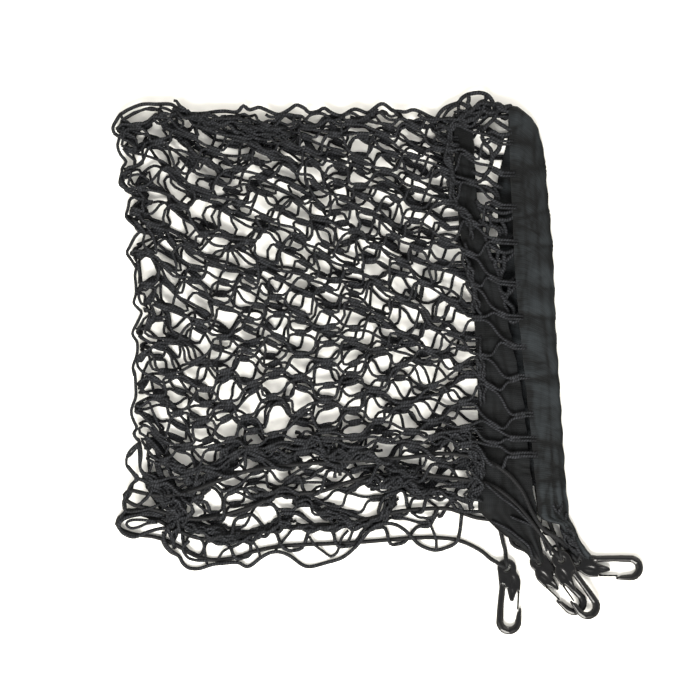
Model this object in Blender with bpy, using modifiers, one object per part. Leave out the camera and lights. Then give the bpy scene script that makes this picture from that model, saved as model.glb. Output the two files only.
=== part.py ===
"""Envelope cargo net, folded once and lying flat, with its four snap hooks together."""
import math

import bmesh
import bpy
import numpy as np
from mathutils import Matrix, Vector

# --- driving sizes, in metres -------------------------------------------------------------
SHEET = 0.0020            # thickness of one layer of mesh
LAYER_PITCH = 0.0036      # from one layer's middle to the next
BAND_THICKNESS = 0.0022   # a hem band, doubled cloth round its elastic
GAP = 0.0004              # clearance between neighbouring pieces
HEM_GAP = 0.0007          # between the mesh and its hem bands
LOWER_SHIFT = 0.0100      # the front band's lower half lies this far inside its upper half
LOWER_GAP = 0.0010        # extra clearance from the mesh along that shifted half
CORD_DIAMETER = 0.0032    # elastic cord
CORD_SPACING = 0.0090     # distance between the points of a cord's tube
EDGE_CLEARANCE = 0.0030   # from a cord's middle to the edge of the layer that it gathers
EDGE_WINDOW = 0.0100      # the edge clears its cord this far to both sides
POCKET_RADIUS = LAYER_PITCH / 2
FOLD_RADIUS = LAYER_PITCH
CORD_RADIUS = CORD_DIAMETER / 2

# grid of the mesh solid: columns across a layer, steps round a fold, rows up a half
FRONT_COLUMNS = 15
BACK_COLUMNS = 8
POCKET_STEPS = 4
HALF_ROWS = 24
FOLD_STEPS = 6
BAND_COLUMNS = 3
BAND_ROWS = 20
CUTTER_DEPTH = 0.05
SCALLOP_LENGTH = 0.028    # one mesh along the left edge
SCALLOP_DEPTH = 0.0022
CORNER_X = -0.1840         # left of this, front and back mesh end at one height
CORNER_WIDTH = 0.0250
FRONT_LIFT = 0.032        # the outer mesh draws back from its elastic towards the hem
FRONT_LIFT_START = 0.038
FRONT_LIFT_END = 0.058

# snap hook, seen with its eye at the origin and its bend at -Y
HOOK_THICKNESS = 0.0052
HOOK_BEVEL = 0.0006
EYE_RADIUS = 0.0078
EYE_HOLE_RADIUS = 0.0026
BEND_OUTER_RADIUS = 0.0102
BEND_INNER_RADIUS = 0.0048
BEND_CENTRE = (0.0016, -0.0429)
SLOT_CENTRE = (0.0020, -0.0421)
PIVOT = (0.0093, -0.0190)
PIVOT_RADIUS = 0.0011
GATE_WIDTH = 0.0014
GATE_THICKNESS = 0.0036
GATE_LENGTH = 0.0142
GATE_BEVEL = 0.0003
WELD = 0.00001

# --- outlines, in metres ------------------------------------------------------------------
# left edge, where front and back mesh are one: y up the object, x of the fold
LEFT_EDGE = (
    # y, x
    (-0.115, -0.1880),
    (-0.098, -0.2000),
    (-0.077, -0.1995),
    (-0.030, -0.1945),
    (0.042, -0.1925),
    (0.091, -0.1980),
    (0.120, -0.2000),
    (0.145, -0.2045),
    (0.171, -0.2105),
    (0.187, -0.2150),
    (0.197, -0.2040),
    (0.204, -0.1900),
)
# top edge, the main fold: x across, y of the fold
TOP_EDGE = (
    # x, y
    (-0.2150, 0.1930),
    (-0.2000, 0.2020),
    (-0.1870, 0.2065),
    (-0.1660, 0.2055),
    (-0.1500, 0.2010),
    (-0.1150, 0.2010),
    (-0.0900, 0.2045),
    (-0.0500, 0.2005),
    (0.0030, 0.2070),
    (0.0450, 0.2000),
    (0.0560, 0.2030),
    (0.0780, 0.2204),
    (0.0960, 0.2060),
    (0.1150, 0.2020),
)
# hem band of the back mesh, which lies inside: y, its two long edges
BACK_BAND = (
    # y, inner x, outer x
    (-0.143, 0.1085, 0.1235),
    (-0.131, 0.0980, 0.1240),
    (-0.117, 0.0790, 0.1230),
    (-0.093, 0.0790, 0.1215),
    (-0.029, 0.0790, 0.1150),
    (0.027, 0.0765, 0.1040),
    (0.063, 0.0725, 0.0970),
    (0.088, 0.0680, 0.0890),
    (0.107, 0.0640, 0.0830),
    (0.133, 0.0620, 0.0775),
    (0.171, 0.0600, 0.0755),
    (0.198, 0.0590, 0.0745),
)
# hem band of the front mesh, which lies outside
FRONT_BAND = (
    # y, inner x, outer x
    (-0.121, 0.1260, 0.1500),
    (-0.093, 0.1245, 0.1480),
    (-0.029, 0.1180, 0.1440),
    (0.027, 0.1120, 0.1400),
    (0.075, 0.1080, 0.1380),
    (0.171, 0.1040, 0.1290),
    (0.190, 0.1030, 0.1250),
    (0.204, 0.1030, 0.1150),
)
# soft ridges where the upper mesh is gathered: both ends, half width and height
RIDGES = (
    # x1, y1, x2, y2, half width, height
    (-0.160, -0.098, -0.080, -0.066, 0.014, 0.0024),
    (-0.080, -0.066, 0.070, -0.056, 0.013, 0.0030),
    (-0.150, 0.120, -0.020, 0.030, 0.022, 0.0014),
    (-0.060, 0.150, 0.060, 0.080, 0.020, 0.0012),
)
# largest gaps that go through every layer: middle, both axes, turn in degrees
GAPS = (
    # x, y, long, short, turn
    (-0.1360, 0.1490, 0.0180, 0.0160, 0),
    (-0.1500, 0.1300, 0.0190, 0.0170, -35),
    (-0.1200, 0.1310, 0.0180, 0.0150, -50),
    (-0.1720, 0.1210, 0.0170, 0.0150, 60),
    (-0.1080, 0.1500, 0.0200, 0.0110, -8),
    (-0.0820, 0.1140, 0.0190, 0.0140, 60),
    (-0.0970, 0.0750, 0.0190, 0.0150, 55),
    (-0.1090, 0.0390, 0.0170, 0.0140, 5),
    (-0.0970, 0.0170, 0.0180, 0.0150, 0),
    (-0.1220, -0.0070, 0.0170, 0.0150, 60),
    (-0.0230, 0.0260, 0.0160, 0.0150, 0),
    (0.0170, 0.0830, 0.0180, 0.0130, 40),
)
# elastic at the side edge of each half: its own points, from one hook to the other
LOWER_SIDE = (
    # x, y, z
    (0.0808, -0.1492, 0.0018),
    (0.0672, -0.1425, 0.0018),
    (0.0540, -0.1397, 0.0018),
    (0.0288, -0.1393, 0.0018),
    (-0.0216, -0.1432, 0.0018),
    (-0.0736, -0.1455, 0.0018),
    (-0.0992, -0.1500, 0.0018),
    (-0.1120, -0.1545, 0.0018),
    (-0.1312, -0.1570, 0.0018),
    (-0.1472, -0.1535, 0.0018),
    (-0.1640, -0.1440, 0.0018),
    (-0.1800, -0.1385, 0.0018),
    (-0.1960, -0.1365, 0.0018),
    (-0.2080, -0.1310, 0.0022),
    (-0.2070, -0.1225, 0.0030),
    (-0.1950, -0.1195, 0.0036),
    (-0.1790, -0.1240, 0.0042),
    (-0.1630, -0.1320, 0.0044),
    (-0.1430, -0.1395, 0.0042),
    (-0.1190, -0.1385, 0.0042),
    (-0.0990, -0.1345, 0.0042),
    (-0.0790, -0.1310, 0.0042),
    (-0.0470, -0.1288, 0.0042),
    (-0.0280, -0.1285, 0.0042),
    (-0.0088, -0.1240, 0.0042),
    (0.0104, -0.1190, 0.0042),
    (0.0288, -0.1165, 0.0042),
    (0.0520, -0.1155, 0.0042),
    (0.0640, -0.1185, 0.0024),
    (0.0770, -0.1230, 0.0017),
    (0.0928, -0.1260, 0.0017),
    (0.1030, -0.1345, 0.0017),
    (0.1070, -0.1445, 0.0017),
)
UPPER_SIDE = (
    # x, y, z
    (0.1265, -0.1330, 0.0118),
    (0.1120, -0.1150, 0.0115),
    (0.0960, -0.1010, 0.0114),
    (0.0800, -0.0940, 0.0114),
    (0.0620, -0.0915, 0.0098),
    (0.0400, -0.0895, 0.0080),
    (0.0024, -0.0885, 0.0080),
    (-0.0280, -0.0955, 0.0080),
    (-0.0472, -0.1020, 0.0080),
    (-0.0712, -0.1040, 0.0080),
    (-0.0872, -0.1070, 0.0080),
    (-0.0992, -0.1130, 0.0080),
    (-0.1144, -0.1180, 0.0080),
    (-0.1296, -0.1220, 0.0080),
    (-0.1450, -0.1240, 0.0080),
    (-0.1620, -0.1210, 0.0082),
    (-0.1800, -0.1160, 0.0086),
    (-0.1950, -0.1125, 0.0092),
    (-0.2030, -0.1060, 0.0098),
    (-0.1975, -0.1010, 0.0106),
    (-0.1850, -0.1035, 0.0112),
    (-0.1680, -0.1050, 0.0122),
    (-0.1480, -0.1010, 0.0130),
    (-0.1250, -0.0920, 0.0132),
    (-0.0990, -0.0840, 0.0132),
    (-0.0630, -0.0800, 0.0126),
    (-0.0270, -0.0775, 0.0126),
    (0.0168, -0.0750, 0.0126),
    (0.0488, -0.0715, 0.0126),
    (0.0728, -0.0740, 0.0121),
    (0.0960, -0.0830, 0.0116),
    (0.1120, -0.0990, 0.0116),
    (0.1215, -0.1180, 0.0116),
    (0.1300, -0.1310, 0.0126),
    (0.1400, -0.1375, 0.0125),
    (0.1475, -0.1440, 0.0080),
)
# which points of a side cord gather which layer, as first and last row
LOWER_FRONT_RUN = (3, 12)
LOWER_BACK_RUN = (15, 27)
UPPER_BACK_RUN = (4, 17)
UPPER_FRONT_RUN = (19, 30)
# elastic of each hem, from the end of its band towards a hook
BACK_TAIL_LOW = (
    (0.0975, -0.1362, 0.0042),
    (0.0990, -0.1430, 0.0034),
)
BACK_TAIL_HIGH = (
    (0.1200, -0.1450, 0.0080),
    (0.1219, -0.1466, 0.0056),
    (0.1244, -0.1495, 0.0036),
)
FRONT_TAIL_HIGH = (
    (0.1345, -0.1220, 0.0078),
    (0.1370, -0.1300, 0.0070),
    (0.1400, -0.1370, 0.0076),
)
FRONT_TAIL_LOW = (
    (0.1470, -0.1222, 0.0018),
    (0.1505, -0.1300, 0.0018),
    (0.1543, -0.1385, 0.0019),
    (0.1585, -0.1448, 0.0022),
    (0.1614, -0.1494, 0.0025),
)
# the four hooks: eye, height of the underside, turn in degrees, lies face down
HOOKS = (
    # x, y, z, turn, flipped
    (0.1020, -0.1634, 0.0000, 0.0, False),
    (0.1278, -0.1585, 0.0000, 43.0, True),
    (0.1450, -0.1562, 0.0056, 31.5, True),
    (0.1582, -0.1584, 0.0000, 85.7, True),
)
PARTS = "cargo_net"
CUTTERS = "cutters"


# --- scene helpers ------------------------------------------------------------------------
def clear_scene():
    for obj in list(bpy.data.objects):
        bpy.data.objects.remove(obj, do_unlink=True)


def collection(name):
    made = bpy.data.collections.get(name) or bpy.data.collections.new(name)
    if name not in bpy.context.scene.collection.children:
        bpy.context.scene.collection.children.link(made)
    return made


def material(name, colour, roughness):
    made = bpy.data.materials.new(name)
    made.use_nodes = True
    shader = made.node_tree.nodes["Principled BSDF"]
    shader.inputs["Base Color"].default_value = (*colour, 1.0)
    shader.inputs["Roughness"].default_value = roughness
    return made


def add_object(name, data, finish, where=PARTS):
    obj = bpy.data.objects.new(name, data)
    collection(where).objects.link(obj)
    if finish is not None:
        data.materials.append(finish)
    return obj


# --- interpolation ------------------------------------------------------------------------
def read_table(table, at, column=1):
    """Value of a table's column where its first column is at."""
    keys = [row[0] for row in table]
    values = [row[column] for row in table]
    return float(np.interp(at, keys, values))


def run_edge(route, rows, x):
    """y of a gathered layer's edge beside a stretch of its elastic."""
    stretch = sorted(route[rows[0]:rows[1] + 1])
    near = (x - EDGE_WINDOW, x, x + EDGE_WINDOW)
    return max(read_table(stretch, place) for place in near) + EDGE_CLEARANCE


def smooth_step(value, low, high):
    share = min(max((value - low) / (high - low), 0.0), 1.0)
    return share * share * (3.0 - 2.0 * share)


def lower_shift(y):
    """Share of the shift of the front band's lower half: none at the fold and the free end."""
    return smooth_step(y, -0.115, -0.030) * (1.0 - smooth_step(y, 0.135, 0.190))


def ridge_height(x, y):
    """Height of the soft ridges over a place."""
    total = 0.0
    for x1, y1, x2, y2, half_width, height in RIDGES:
        along = Vector((x2 - x1, y2 - y1))
        share = (Vector((x, y)) - Vector((x1, y1))).dot(along) / along.length_squared
        nearest = Vector((x1, y1)) + along * min(max(share, 0.0), 1.0)
        away = (Vector((x, y)) - nearest).length / half_width
        total = max(total, height * math.exp(-away * away))
    return total


def smooth_route(points, spacing):
    """Points a fixed distance apart on a smooth curve through a route's points."""
    knots = [Vector(p) for p in points]
    knots = [2 * knots[0] - knots[1]] + knots + [2 * knots[-1] - knots[-2]]
    dense = []
    for a, b, c, d in zip(knots, knots[1:], knots[2:], knots[3:]):
        for step in range(12):
            t = step / 12
            dense.append(0.5 * (2 * b + (c - a) * t + (2 * a - 5 * b + 4 * c - d) * t ** 2
                                + (3 * b - 3 * c + d - a) * t ** 3))
    dense.append(knots[-2])
    travelled = [0.0]
    for a, b in zip(dense, dense[1:]):
        travelled.append(travelled[-1] + (b - a).length)
    count = max(2, round(travelled[-1] / spacing))
    marks = np.linspace(0.0, travelled[-1], count + 1)
    axes = [np.interp(marks, travelled, [p[axis] for p in dense]) for axis in range(3)]
    return [Vector(p) for p in zip(*axes)]


# --- the mesh solid -----------------------------------------------------------------------
LOWER_CENTRE = SHEET / 2 + POCKET_RADIUS
FOLD_CENTRE = LOWER_CENTRE + FOLD_RADIUS
UPPER_CENTRE = FOLD_CENTRE + FOLD_RADIUS


def layer_edge(x, upper, side):
    """Lowest y of a half at x; side is 1 on the front mesh and -1 on the back mesh."""
    if upper:
        front = run_edge(UPPER_SIDE, UPPER_FRONT_RUN, x)
        back = run_edge(UPPER_SIDE, UPPER_BACK_RUN, x)
    else:
        front = run_edge(LOWER_SIDE, LOWER_FRONT_RUN, x)
        front += FRONT_LIFT * smooth_step(x, FRONT_LIFT_START, FRONT_LIFT_END)
        back = run_edge(LOWER_SIDE, LOWER_BACK_RUN, x)
    corner = 1.0 - smooth_step(x, CORNER_X, CORNER_X + CORNER_WIDTH)
    highest = max(front, back)
    front += (highest - front) * corner
    back += (highest - back) * corner
    return back + (front - back) * (side + 1) / 2


def section_point(index):
    """Share across, side (1 front to -1 back) and how far round the pocket's fold."""
    if index <= FRONT_COLUMNS:
        return 1.0 - index / FRONT_COLUMNS, 1.0, 0.0
    index -= FRONT_COLUMNS
    if index < POCKET_STEPS:
        turn = math.pi * index / POCKET_STEPS
        return 0.0, math.cos(turn), math.sin(turn)
    index -= POCKET_STEPS
    return index / BACK_COLUMNS, -1.0, 0.0


def mesh_point(column, row):
    """Place of one grid point on the middle of the folded mesh."""
    across, side, bulge = section_point(column)
    right_table = FRONT_BAND if side > 0 else BACK_BAND
    radius = FOLD_RADIUS + side * POCKET_RADIUS
    x = CORNER_X + (read_table(right_table, 0.0) - CORNER_X) * across
    for _ in range(4):  # x and y depend on each other, so both are refined together
        top = read_table(TOP_EDGE, x) - FOLD_RADIUS - POCKET_RADIUS - SHEET / 2
        if row <= HALF_ROWS:
            edge = layer_edge(x, False, side)
            y = edge + (top - edge) * row / HALF_ROWS
            z = LOWER_CENTRE - side * POCKET_RADIUS
        elif row < HALF_ROWS + FOLD_STEPS:
            turn = math.pi * (row - HALF_ROWS) / FOLD_STEPS
            y = top + radius * math.sin(turn)
            z = FOLD_CENTRE - radius * math.cos(turn)
        else:
            edge = layer_edge(x, True, side)
            y = top + (edge - top) * (row - HALF_ROWS - FOLD_STEPS) / HALF_ROWS
            z = UPPER_CENTRE + side * POCKET_RADIUS
        scallop = SCALLOP_DEPTH * abs(math.sin(math.pi * y / SCALLOP_LENGTH))
        left = read_table(LEFT_EDGE, y) + POCKET_RADIUS + SHEET / 2 + scallop * (1 - across)
        right = read_table(right_table, y) - HEM_GAP
        if side > 0 and row <= HALF_ROWS:
            right -= (LOWER_SHIFT + LOWER_GAP) * lower_shift(y)
        x = left + (right - left) * across
    x -= POCKET_RADIUS * bulge
    lift = ridge_height(x, y) * (z - SHEET / 2) / (3 * LAYER_PITCH)
    return Vector((x, y, z + lift))


def build_net(finish):
    """Pocket of mesh, front and back in one, folded over at the top."""
    columns = FRONT_COLUMNS + POCKET_STEPS + BACK_COLUMNS
    rows = 2 * HALF_ROWS + FOLD_STEPS
    bm = bmesh.new()
    bmesh.ops.create_grid(bm, x_segments=columns, y_segments=rows, size=1.0)
    for vert in bm.verts:
        column = round((vert.co.x + 1) / 2 * columns)
        row = round((vert.co.y + 1) / 2 * rows)
        vert.co = mesh_point(column, row)
    bmesh.ops.recalc_face_normals(bm, faces=bm.faces)
    mesh = bpy.data.meshes.new("net")
    bm.to_mesh(mesh)
    bm.free()
    obj = add_object("net", mesh, finish)
    shell = obj.modifiers.new("cloth", 'SOLIDIFY')
    shell.thickness = SHEET
    shell.offset = 0.0
    cut = obj.modifiers.new("gaps", 'BOOLEAN')
    cut.operation = 'DIFFERENCE'
    cut.object = build_gap_cutter()
    return obj


def build_gap_cutter():
    bm = bmesh.new()
    for x, y, long, short, turn in GAPS:
        shape = (Matrix.Translation((x, y, FOLD_CENTRE))
                 @ Matrix.Rotation(math.radians(turn), 4, 'Z')
                 @ Matrix.Diagonal((long / 2, short / 2, 1.0, 1.0)))
        bmesh.ops.create_cone(bm, cap_ends=True, segments=10, radius1=1.0, radius2=1.0,
                              depth=CUTTER_DEPTH, matrix=shape)
    mesh = bpy.data.meshes.new("gap_cutter")
    bm.to_mesh(mesh)
    bm.free()
    obj = add_object("gap_cutter", mesh, None, CUTTERS)
    obj.hide_render = True
    obj.display_type = 'WIRE'
    return obj


# --- hem bands ----------------------------------------------------------------------------
def build_band(name, table, low_z, high_z, fold_inset, shift, finish):
    """Strip folded over at the top; low_z and high_z are middles at inner and outer edge.

    shift is how far the lower half lies towards the mesh.
    """
    rows = 2 * BAND_ROWS + FOLD_STEPS
    bm = bmesh.new()
    bmesh.ops.create_grid(bm, x_segments=BAND_COLUMNS, y_segments=rows, size=1.0)
    bottom = table[0][0]
    for vert in bm.verts:
        share = (vert.co.x + 1) / 2
        row = round((vert.co.y + 1) / 2 * rows)
        low = low_z[0] + (low_z[1] - low_z[0]) * share
        high = high_z[0] + (high_z[1] - high_z[0]) * share
        radius = (high - low) / 2
        top = table[-1][0] - fold_inset * share ** 2 - radius - BAND_THICKNESS / 2
        if row <= BAND_ROWS:
            y = bottom + (top - bottom) * row / BAND_ROWS
            z = low
        elif row < BAND_ROWS + FOLD_STEPS:
            turn = math.pi * (row - BAND_ROWS) / FOLD_STEPS
            y = top + radius * math.sin(turn)
            z = low + radius - radius * math.cos(turn)
        else:
            y = top + (bottom - top) * (row - BAND_ROWS - FOLD_STEPS) / BAND_ROWS
            z = high
        inner = read_table(table, y, 1)
        outer = read_table(table, y, 2)
        aside = shift * lower_shift(y) if row <= BAND_ROWS else 0.0
        vert.co = Vector((inner + (outer - inner) * share - aside, y, z))
    bmesh.ops.recalc_face_normals(bm, faces=bm.faces)
    mesh = bpy.data.meshes.new(name)
    bm.to_mesh(mesh)
    bm.free()
    obj = add_object(name, mesh, finish)
    shell = obj.modifiers.new("cloth", 'SOLIDIFY')
    shell.thickness = BAND_THICKNESS
    shell.offset = 0.0
    return obj


# --- elastic cords ------------------------------------------------------------------------
def build_cord(name, points, finish):
    curve = bpy.data.curves.new(name, 'CURVE')
    curve.dimensions = '3D'
    curve.bevel_depth = CORD_RADIUS
    curve.bevel_resolution = 2
    curve.use_fill_caps = True
    route = smooth_route(points, CORD_SPACING)
    spline = curve.splines.new('POLY')
    spline.points.add(len(route) - 1)
    for point, place in zip(spline.points, route):
        point.co = (*place, 1.0)
    return add_object(name, curve, finish)


def eye_approach(hook, angle):
    """Last two points of a cord that comes straight to a hook's eye."""
    x, y, z = hook[:3]
    away = Vector((math.cos(math.radians(angle)), math.sin(math.radians(angle)), 0.0))
    middle = Vector((x, y, z + HOOK_THICKNESS / 2))
    reach = EYE_RADIUS + HEM_GAP
    return [middle + away * (reach + 0.006), middle + away * reach]


# --- snap hooks ---------------------------------------------------------------------------
def arc(centre, radius, start, end, steps):
    """Points on an arc, angles in degrees."""
    points = []
    for step in range(steps + 1):
        angle = math.radians(start + (end - start) * step / steps)
        points.append((centre[0] + radius * math.cos(angle),
                       centre[1] + radius * math.sin(angle)))
    return points


def hook_outline():
    """Eye, shoulder, J-shaped arm, nose and tongue in one flat outline, anticlockwise."""
    outline = arc((0.0, 0.0), EYE_RADIUS, -18, 200, 12)
    outline += [(-0.0066, -0.0100), (-0.0061, -0.0150), (-0.0080, -0.0340)]
    outline += arc(BEND_CENTRE, BEND_OUTER_RADIUS, 184, 360, 10)
    outline += [(0.0118, -0.0325), (0.0110, -0.0316), (0.0100, -0.0316), (0.0097, -0.0336)]
    outline += [(0.0080, -0.0356)]
    outline += arc(SLOT_CENTRE, BEND_INNER_RADIUS, 0, -180, 8)
    outline += [(-0.0024, -0.0300), (-0.0012, -0.0160), (0.0000, -0.0160)]
    outline += [(0.0018, -0.0240), (0.0026, -0.0262), (0.0040, -0.0268), (0.0054, -0.0262)]
    outline += [(0.0060, -0.0240), (0.0074, -0.0198)]
    outline += arc(PIVOT, PIVOT_RADIUS + GAP, 190, 20, 5)
    outline += [(0.0110, -0.0130), (0.0110, -0.0095), (0.0098, -0.0060)]
    return outline


def flat_outline(name, outlines, thickness, bevel):
    """Mesh of a flat shape with softened edges, from closed outlines."""
    curve = bpy.data.curves.new(name, 'CURVE')
    curve.dimensions = '2D'
    curve.fill_mode = 'BOTH'
    curve.extrude = thickness / 2 - bevel
    curve.bevel_depth = bevel
    curve.bevel_resolution = 0
    curve.offset = -bevel
    for outline in outlines:
        spline = curve.splines.new('POLY')
        spline.points.add(len(outline) - 1)
        for point, (x, y) in zip(spline.points, outline):
            point.co = (x, y, 0.0, 1.0)
        spline.use_cyclic_u = True
    holder = bpy.data.objects.new(name, curve)
    collection(PARTS).objects.link(holder)
    graph = bpy.context.evaluated_depsgraph_get()
    mesh = bpy.data.meshes.new_from_object(holder.evaluated_get(graph))
    bpy.data.objects.remove(holder, do_unlink=True)
    bm = bmesh.new()
    bm.from_mesh(mesh)
    bmesh.ops.remove_doubles(bm, verts=bm.verts, dist=WELD)
    bmesh.ops.recalc_face_normals(bm, faces=bm.faces)
    bm.to_mesh(mesh)
    bm.free()
    return mesh


def gate_outline():
    """Leaf that closes the hook's mouth, its round root at the origin."""
    half = GATE_WIDTH / 2
    outline = arc((0.0, 0.0), PIVOT_RADIUS, -50, 230, 8)
    outline += [(-half, -0.0030), (-half - 0.0006, -GATE_LENGTH + 0.0006)]
    outline += [(-half, -GATE_LENGTH), (half - 0.0008, -GATE_LENGTH), (half, -0.0030)]
    return outline


def hook_frame(hook):
    """Where a hook lies: its eye's middle, turned, and face down if flipped."""
    x, y, z, turn, flipped = hook
    place = Matrix.Translation((x, y, z + HOOK_THICKNESS / 2))
    place = place @ Matrix.Rotation(math.radians(turn), 4, 'Z')
    if flipped:
        place = place @ Matrix.Rotation(math.pi, 4, 'Y')
    return place


def build_hooks(finish):
    hook_mesh = flat_outline("hook", [hook_outline(), arc((0, 0), EYE_HOLE_RADIUS, 0, 324, 9)],
                             HOOK_THICKNESS, HOOK_BEVEL)
    gate_mesh = flat_outline("gate", [gate_outline()], GATE_THICKNESS, GATE_BEVEL)
    hook_mesh.materials.append(finish)
    gate_mesh.materials.append(finish)
    for number, hook in enumerate(HOOKS, 1):
        frame = hook_frame(hook)
        body = add_object(f"hook_{number}", hook_mesh, None)
        body.matrix_world = frame
        gate = add_object(f"gate_{number}", gate_mesh, None)
        gate.matrix_world = frame @ Matrix.Translation((*PIVOT, 0.0))


def main():
    clear_scene()
    mesh_yarn = material("black knotless mesh yarn", (0.012, 0.013, 0.015), 0.85)
    hem_cloth = material("black gathered hem cloth", (0.022, 0.024, 0.028), 0.80)
    elastic = material("black elastic cord", (0.016, 0.016, 0.017), 0.55)
    plastic = material("black moulded hook plastic", (0.010, 0.010, 0.010), 0.25)

    build_net(mesh_yarn)
    build_band("back_hem", BACK_BAND, (0.0047, 0.0047), (0.0082, 0.0082), 0.003,
               0.0, hem_cloth)
    build_band("front_hem", FRONT_BAND, (0.0011, 0.0011), (0.0118, 0.0050), 0.010,
               LOWER_SHIFT, hem_cloth)
    one, two, three, four = HOOKS
    build_cord("side_cord_low",
               eye_approach(one, 150)[::-1] + list(LOWER_SIDE) + eye_approach(two, 140),
               elastic)
    build_cord("side_cord_high",
               eye_approach(three, 130)[::-1] + list(UPPER_SIDE) + eye_approach(four, 128),
               elastic)
    build_cord("back_hem_cord_low", list(BACK_TAIL_LOW) + eye_approach(one, 95), elastic)
    build_cord("back_hem_cord_high", BACK_TAIL_HIGH, elastic)
    build_cord("front_hem_cord_high", list(FRONT_TAIL_HIGH) + eye_approach(three, 100)[1:],
               elastic)
    build_cord("front_hem_cord_low", FRONT_TAIL_LOW, elastic)
    build_hooks(plastic)


main()
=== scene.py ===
import math

import bmesh
import bpy
import numpy as np
from mathutils import Matrix, Vector


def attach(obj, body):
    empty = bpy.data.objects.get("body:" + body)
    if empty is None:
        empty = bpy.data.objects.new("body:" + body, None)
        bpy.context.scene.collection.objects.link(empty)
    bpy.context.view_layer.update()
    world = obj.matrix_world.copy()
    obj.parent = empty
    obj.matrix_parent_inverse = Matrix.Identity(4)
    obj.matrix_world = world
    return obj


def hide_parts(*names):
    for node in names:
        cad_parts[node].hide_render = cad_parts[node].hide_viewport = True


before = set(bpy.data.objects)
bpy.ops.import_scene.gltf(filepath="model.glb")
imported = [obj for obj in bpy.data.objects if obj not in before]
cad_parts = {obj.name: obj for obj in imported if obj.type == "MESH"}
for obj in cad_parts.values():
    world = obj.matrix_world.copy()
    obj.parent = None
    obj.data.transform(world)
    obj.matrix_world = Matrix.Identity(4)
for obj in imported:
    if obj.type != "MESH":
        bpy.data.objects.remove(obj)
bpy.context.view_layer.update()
scene = bpy.context.scene
scene.view_settings.view_transform = "Standard"
print("frame loaded")

floorGap = 0.0001   # no strand or cloth comes nearer to the floor


# small helpers that every piece uses

def hexColour(text):
    channels = [int(text[i:i + 2], 16) / 255 for i in (1, 3, 5)]
    linear = [c / 12.92 if c <= 0.04045 else ((c + 0.055) / 1.055) ** 2.4 for c in channels]
    return (*linear, 1.0)


# a node with its settings; feeds are sockets or plain numbers for its inputs, in their order
def addNode(tree, kind, settings=None, feeds=(), **links):
    node = tree.nodes.new(kind)
    for name, value in (settings or {}).items():
        if hasattr(node, name):
            setattr(node, name, value)
        else:
            node.inputs[name].default_value = value
    for socket, source in zip(node.inputs, feeds):
        if isinstance(source, bpy.types.NodeSocket):
            tree.links.new(source, socket)
        else:
            socket.default_value = source
    for name, source in links.items():
        tree.links.new(source, node.inputs[name])
    return node


def newMaterial(name):
    made = bpy.data.materials.new(name)
    made.use_nodes = True
    tree = made.node_tree
    return made, tree, tree.nodes["Principled BSDF"]


def linkObject(name, data):
    obj = bpy.data.objects.new(name, data)
    scene.collection.objects.link(obj)
    return obj


def finishPiece(obj, body, material):
    obj.data.materials.clear()
    obj.data.materials.append(material)
    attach(obj, body)
    return obj


def smoothStep(value, low, high):
    share = np.clip((value - low) / (high - low), 0.0, 1.0)
    return share * share * (3 - 2 * share)


def column(table, index):
    return np.array([row[index] for row in table])


def readTable(table, at, index=1):
    return np.interp(at, column(table, 0), column(table, index))


# how far along a path each of its points is
def distanceRun(path):
    return np.concatenate([[0.0], np.cumsum(np.linalg.norm(np.diff(path, axis=0), axis=1))])


# points an even distance apart on a smooth curve through a route's own points
def smoothRoute(points, spacing, steps=12):
    corners = [Vector(p) for p in points]
    corners = [2 * corners[0] - corners[1]] + corners + [2 * corners[-1] - corners[-2]]
    dense = []
    for a, b, c, d in zip(corners, corners[1:], corners[2:], corners[3:]):
        for step in range(steps):
            t = step / steps
            dense.append(0.5 * (2 * b + (c - a) * t + (2 * a - 5 * b + 4 * c - d) * t ** 2
                                + (3 * b - 3 * c + d - a) * t ** 3))
    dense.append(corners[-2])
    lengths = [(b - a).length for a, b in zip(dense, dense[1:])]
    travelled = np.concatenate([[0.0], np.cumsum(lengths)])
    marks = np.linspace(0.0, travelled[-1], max(2, round(travelled[-1] / spacing)) + 1)
    return np.array([np.interp(marks, travelled, [p[axis] for p in dense]) for axis in range(3)]).T


# a mesh tube along each path, with its own map: U once round, V the length run in metres
def tubeMesh(name, paths, radii, sides=8):
    curve = bpy.data.curves.new(name, "CURVE")
    curve.dimensions = "3D"
    curve.twist_mode = "Z_UP"
    curve.bevel_depth = 1.0
    curve.bevel_resolution = max(0, sides // 2 - 2)
    for path, radius in zip(paths, radii):
        spline = curve.splines.new("POLY")
        spline.points.add(len(path) - 1)
        spline.points.foreach_set("co", np.column_stack([path, np.ones(len(path))]).ravel())
        spline.points.foreach_set("radius", np.broadcast_to(radius, len(path)).ravel())
    holder = linkObject(name, curve)
    graph = bpy.context.evaluated_depsgraph_get()
    mesh = bpy.data.meshes.new_from_object(holder.evaluated_get(graph))
    bpy.data.objects.remove(holder, do_unlink=True)
    bpy.data.curves.remove(curve)
    mesh.name = name
    mapTubes(mesh, paths, sides)
    capTubes(mesh)
    mesh.shade_smooth()
    return linkObject(name, mesh)


def capTubes(mesh):
    bm = bmesh.new()
    bm.from_mesh(mesh)
    rims = [e for e in bm.edges if e.is_boundary]
    bmesh.ops.holes_fill(bm, edges=rims, sides=0)
    bmesh.ops.recalc_face_normals(bm, faces=bm.faces)
    bm.to_mesh(mesh)
    bm.free()


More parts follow.
